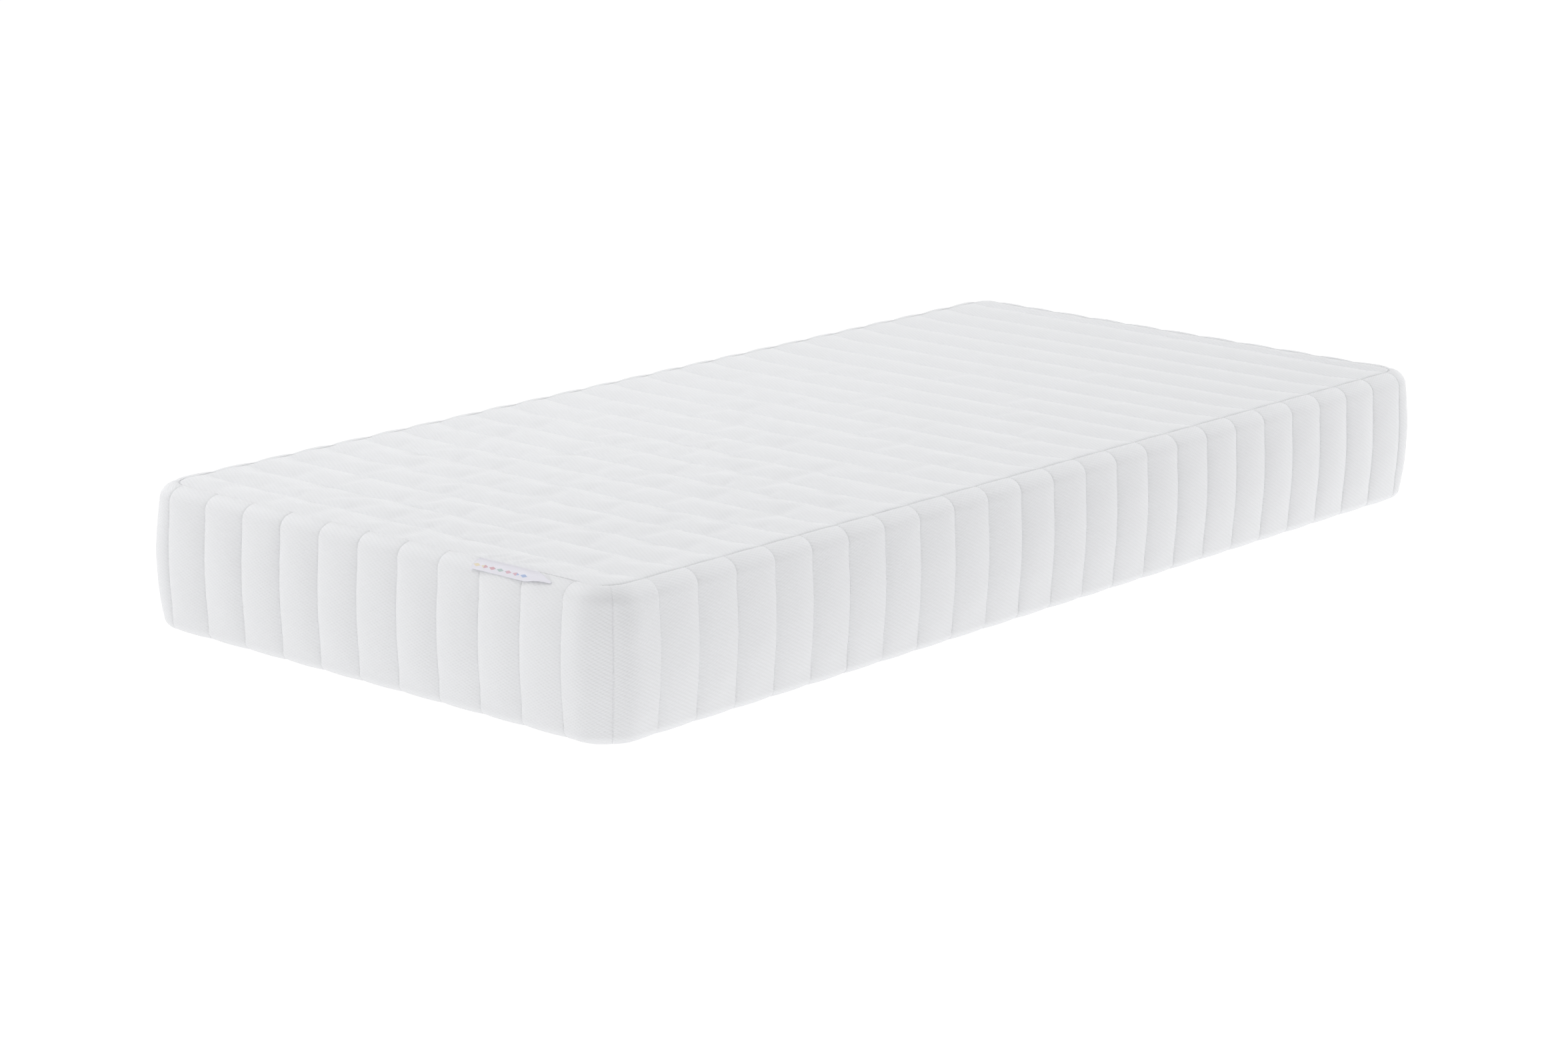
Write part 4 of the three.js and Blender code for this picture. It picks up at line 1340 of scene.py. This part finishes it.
class MATTRESS_OT_zip(bpy.types.Operator):
    """Set the zip across the head end: tapes, coils, end tabs, slider and pull"""
    bl_idname = "mattress.zip"
    bl_label = "Zip"

    def execute(self, context):
        for side, half in ((1, "upper"), (-1, "lower")):
            self.tape(half)
            self.coil(side, half)
        for end in ("open_end", "closed_end"):
            low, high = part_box("zip_end_tab_" + end)
            tab = rounded_box("zip_end_" + end, low, high, 0.3 * MM)
            finish_piece(tab, material("tape"), "tape_cloth", "zip_end_tab_" + end)
        self.slider()
        self.pull()
        return {"FINISHED"}

    def tape(self, half):
        """Herringbone tape with a thicker woven cord beside the coil."""
        low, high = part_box("zip_tape_" + half)
        x, k = np.meshgrid(np.linspace(high.x, low.x, 151), np.linspace(0, 1, 12))
        z = low.z + (high.z - low.z) * k
        ripple = 0.12 * MM * np.sin(x / (9 * MM) + 2 * k)
        front = np.stack([x, high.y - 0.15 * MM + ripple, z], axis=-1)
        back = np.stack([x, low.y + 0.15 * MM + ripple, z], axis=-1)
        piece = two_sided("zip_tape_cloth_" + half, front, back, np.stack([x, z], axis=-1))
        finish_piece(piece, material("tape"), "tape_cloth", "zip_tape_" + half)

    def coil(self, side, half):
        """A nylon spiral: a thin wire carried round an oval, one turn for each tooth."""
        low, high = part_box("zip_coil_" + half)
        turns = int((high.x - low.x - 2 * MM) / COIL_PITCH)
        at = np.arange(turns * COIL_PER_TURN + 1)
        phase = 2 * np.pi * at / COIL_PER_TURN
        x = low.x + 1 * MM + COIL_PITCH * at / COIL_PER_TURN
        core = np.stack([x, np.full_like(x, (low.y + high.y) / 2),
                         np.full_like(x, (low.z + high.z) / 2)], 1)
        radius_y = (high.y - low.y) / 2 - COIL_WIRE
        radius_z = (high.z - low.z) / 2 - COIL_WIRE
        line = core + np.stack([np.zeros_like(x), radius_y * np.cos(phase),
                                side * radius_z * np.sin(phase)], axis=1)
        along = np.gradient(line, axis=0)
        along /= np.linalg.norm(along, axis=1, keepdims=True)
        out = line - core
        out -= along * np.sum(out * along, axis=1, keepdims=True)
        out /= np.linalg.norm(out, axis=1, keepdims=True)
        across = np.cross(along, out)
        turn = (np.arange(COIL_SIDES) * 2 * np.pi / COIL_SIDES)[None, :, None]
        points = line[:, None] + COIL_WIRE * (out[:, None] * np.cos(turn)
                                              + across[:, None] * np.sin(turn))
        first = np.arange(COIL_SIDES)
        ends = np.array([first[::-1], first + (len(line) - 1) * COIL_SIDES])
        quads = grid_faces(len(line), COIL_SIDES, close_cols=True)
        piece = add_mesh("zip_coil_spiral_" + half, points.reshape(-1, 3), quads, ends)
        finish_piece(piece, material("nylon"), "nylon", "zip_coil_" + half)

    def slider(self):
        """Two shield-shaped plates either side of the chain, their flanges, the post and the arched
        bar that holds the pull."""
        low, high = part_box("zip_slider_body")
        front = PIVOT.y - 1.9 * MM
        half = (high.x - low.x) / 2, (high.z - low.z) / 2
        shape = superellipse((PIVOT.x, PIVOT.z), half, 0.45)
        narrowed = np.interp(shape[:, 0] - PIVOT.x, [-half[0], half[0]], [0.8, 1.0])
        shape[:, 1] = PIVOT.z + (shape[:, 1] - PIVOT.z) * narrowed
        parts = [plate("outer_plate", shape, front - SLIDER_PLATE, front),
                 plate("inner_plate", shape, low.y, low.y + SLIDER_PLATE)]
        for side in (1, -1):
            z0, z1 = sorted((PIVOT.z + side * half[1] * 0.98, PIVOT.z + side * (half[1] - 1.2 * MM)))
            parts.append(rounded_box("flange", (low.x + 3.4 * MM, front - 3 * MM, z0),
                                     (high.x - 0.6 * MM, front - 0.2 * MM, z1), 0.25 * MM))
        parts.append(rounded_box(
            "post", (high.x - 4 * MM, low.y + 0.2 * MM, PIVOT.z - 0.4 * MM),
            (high.x - 0.4 * MM, front - 0.2 * MM, PIVOT.z + 0.4 * MM), 0.12 * MM))
        for side in (1, -1):
            x0, x1 = sorted((PIVOT.x + side * 3.5 * MM, PIVOT.x + side * 2.4 * MM))
            parts.append(rounded_box("leg", (x0, front - 0.4 * MM, PIVOT.z - 0.55 * MM),
                                     (x1, PIVOT.y + 0.55 * MM, PIVOT.z + 0.55 * MM), 0.25 * MM))
        turn = np.linspace(0, 2 * np.pi, 17)[:-1]
        ring = np.stack([np.zeros(16), -np.cos(turn), np.sin(turn)], 1) * 0.5 * MM
        reach = np.array([2.9 * MM, 0, 0])
        parts.append(extruded("bar", ring, np.array(PIVOT) - reach, 2 * reach))
        body = joined("zip_slider_shell", *parts)
        finish_piece(body, material("nickel"), "nickel", "zip_slider_body", body="zip_slider")

    def pull(self):
        """A tab with a waist and a rounded end, hung from an eye round the bar."""
        low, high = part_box("zip_pull_tab")
        half, reach = (high.x - low.x) / 2, PIVOT.z - low.z
        eye, hole = 1.6 * MM, 0.8 * MM
        section = np.linspace(0, 1, 40)
        z = PIVOT.z - 1.1 * MM - (reach - 1.1 * MM) * section
        waist = 0.78 + 0.22 * np.cos(2 * np.pi * section)
        width = half * waist * np.sqrt(np.clip((1 - section) / 0.09, 0, 1))
        width = np.maximum(width, 0.02 * MM)
        left, right = np.stack([PIVOT.x - width, z], 1), np.stack([PIVOT.x + width, z], 1)
        tab = plate("pull_plate", np.concatenate([left, right[::-1]]),
                    PIVOT.y - 0.5 * MM, PIVOT.y + 0.5 * MM)
        turn = np.linspace(2 * np.pi, 0, 49)[:-1]
        x, k = np.meshgrid(PIVOT.x + np.linspace(-0.95, 0.95, 9) * half, turn)
        outer, inner = (
            np.stack([x, PIVOT.y + radius * np.cos(k), PIVOT.z + radius * np.sin(k)], axis=-1)
            for radius in (eye, hole))
        piece = joined("zip_pull_plate", tab, self.tube(outer, inner))
        finish_piece(piece, material("nickel"), "nickel", "zip_pull_tab", body="zip_pull")

    def tube(self, outer, inner):
        """A short tube from an outer and an inner grid, rows round and columns along."""
        rows, cols = outer.shape[:2]
        count = rows * cols
        index = np.arange(count).reshape(rows, cols)
        index = np.concatenate([index, index[:1]])
        a, b = index[:-1, :-1], index[:-1, 1:]
        c, d = index[1:, 1:], index[1:, :-1]
        front = np.stack([a, b, c, d], axis=-1).reshape(-1, 4)
        ends = []
        for column, flip in ((0, 1), (-1, -1)):
            e = index[:, column][::flip]
            ends.append(np.stack([e[1:], e[:-1], e[:-1] + count, e[1:] + count], axis=-1)[:, ::-1])
        points = np.concatenate([outer.reshape(-1, 3), inner.reshape(-1, 3)])
        return add_mesh("pull_eye", points, front, front[:, ::-1] + count, *ends)


# ---------------------------------------------------------------- studio


class MATTRESS_OT_studio(bpy.types.Operator):
    """Lay the pale floor, hang the lights and place the camera"""
    bl_idname = "mattress.studio"
    bl_label = "Studio"

    def execute(self, context):
        studio = context.scene.mattress_studio
        floor = self.floor()
        floor.data.materials.append(self.floor_paint())
        self.camera(context, studio)
        for light in LIGHTS:
            self.light(*light)
        world = bpy.data.worlds.new("Studio_dome")
        context.scene.world = world
        world.use_nodes = True
        background = world.node_tree.nodes["Background"]
        background.inputs["Color"].default_value = (0.985, 0.99, 1.0, 1)
        background.inputs["Strength"].default_value = DOME_STRENGTH
        context.scene.view_settings.view_transform = "Standard"
        context.scene.view_settings.look = "None"
        return {"FINISHED"}

    def floor(self):
        """A round floor that turns up in a quarter circle into a low wall far from the mattress."""
        turn = np.linspace(0, np.pi / 2, 12)
        radius = np.concatenate([[1 * MM], FLOOR_REACH + COVE * np.sin(turn), [FLOOR_REACH + COVE]])
        height = np.concatenate([[0], COVE * (1 - np.cos(turn)), [WALL_HEIGHT]]) - CLEAR
        angle = np.linspace(0, 2 * np.pi, FLOOR_SIDES + 1)[:-1]
        points = np.stack([radius[:, None] * np.cos(angle), radius[:, None] * np.sin(angle),
                           np.repeat(height[:, None], len(angle), 1)], axis=-1)
        quads = grid_faces(len(radius), len(angle), close_cols=True)
        return add_mesh("studio_floor", points.reshape(-1, 3), quads[:, ::-1])

    def floor_paint(self):
        """A pale floor that glows evenly, white all over like a light table."""
        recipe = Recipe("Floor_paint", (0.05, 0.05, 0.05), 0.9)
        recipe.shader.inputs["Emission Color"].default_value = (1, 1, 1, 1)
        recipe.shader.inputs["Specular IOR Level"].default_value = 0.1
        recipe.shader.inputs["Emission Strength"].default_value = FLOOR_GLOW
        return recipe.material

    def camera(self, context, studio):
        """The camera looks back along its direction at the middle of the mattress, tilted by its roll
        and moved along its own right and up."""
        az, el, roll = studio.azimuth, studio.elevation, studio.roll
        back = Vector((math.sin(az) * math.cos(el), -math.cos(az) * math.cos(el), math.sin(el)))
        level = Vector((math.cos(az), math.sin(az), 0))
        upright = back.cross(level)
        right = level * math.cos(roll) + upright * math.sin(roll)
        up = upright * math.cos(roll) - level * math.sin(roll)
        place = AIM + back * studio.distance + right * studio.slide_right + up * studio.slide_up
        data = bpy.data.cameras.new("camera")
        data.lens, data.sensor_width, data.clip_end = studio.lens, SENSOR_WIDTH, 200
        camera = bpy.data.objects.new("camera", data)
        turn = Matrix((right, up, back)).transposed().to_4x4()
        camera.matrix_world = Matrix.Translation(place) @ turn
        context.scene.collection.objects.link(camera)
        context.scene.camera = camera

    def light(self, name, place, side, watts):
        """A square softbox at a place, turned to face the mattress."""
        data = bpy.data.lights.new(name, "AREA")
        data.shape, data.size, data.energy = "SQUARE", side, watts
        lamp = bpy.data.objects.new(name, data)
        lamp.location = place
        lamp.visible_camera = False
        lamp.rotation_euler = Vector(place).to_track_quat("Z", "Y").to_euler()
        bpy.context.scene.collection.objects.link(lamp)


# ---------------------------------------------------------------- the add-on


class MATTRESS_PT_sidebar(bpy.types.Panel):
    bl_idname = "MATTRESS_PT_sidebar"
    bl_label = "Quilted mattress"
    bl_space_type = "VIEW_3D"
    bl_region_type = "UI"
    bl_category = "Mattress"

    def draw(self, context):
        scene = context.scene
        for group in (scene.mattress_sizes, scene.mattress_colours, scene.mattress_studio):
            box = self.layout.box()
            for name in group.__annotations__:
                box.prop(group, name)
        for operator in PIECES:
            self.layout.operator(operator.bl_idname)


GROUPS = {"mattress_sizes": MattressSizes, "mattress_colours": MattressColours,
          "mattress_studio": MattressStudio}
PIECES = (MATTRESS_OT_studio, MATTRESS_OT_top_panel, MATTRESS_OT_border, MATTRESS_OT_base_panel,
          MATTRESS_OT_seams, MATTRESS_OT_labels, MATTRESS_OT_foam, MATTRESS_OT_sock, MATTRESS_OT_zip)
CLASSES = (*GROUPS.values(), *PIECES, MATTRESS_PT_sidebar)


def register():
    for made in CLASSES:
        bpy.utils.register_class(made)
    for name, group in GROUPS.items():
        setattr(bpy.types.Scene, name, PointerProperty(type=group))


def unregister():
    for name in GROUPS:
        delattr(bpy.types.Scene, name)
    for made in reversed(CLASSES):
        bpy.utils.unregister_class(made)


def main():
    register()
    for operator in PIECES:
        getattr(bpy.ops.mattress, operator.bl_idname.split(".")[1])()


if __name__ == "__main__":
    main()
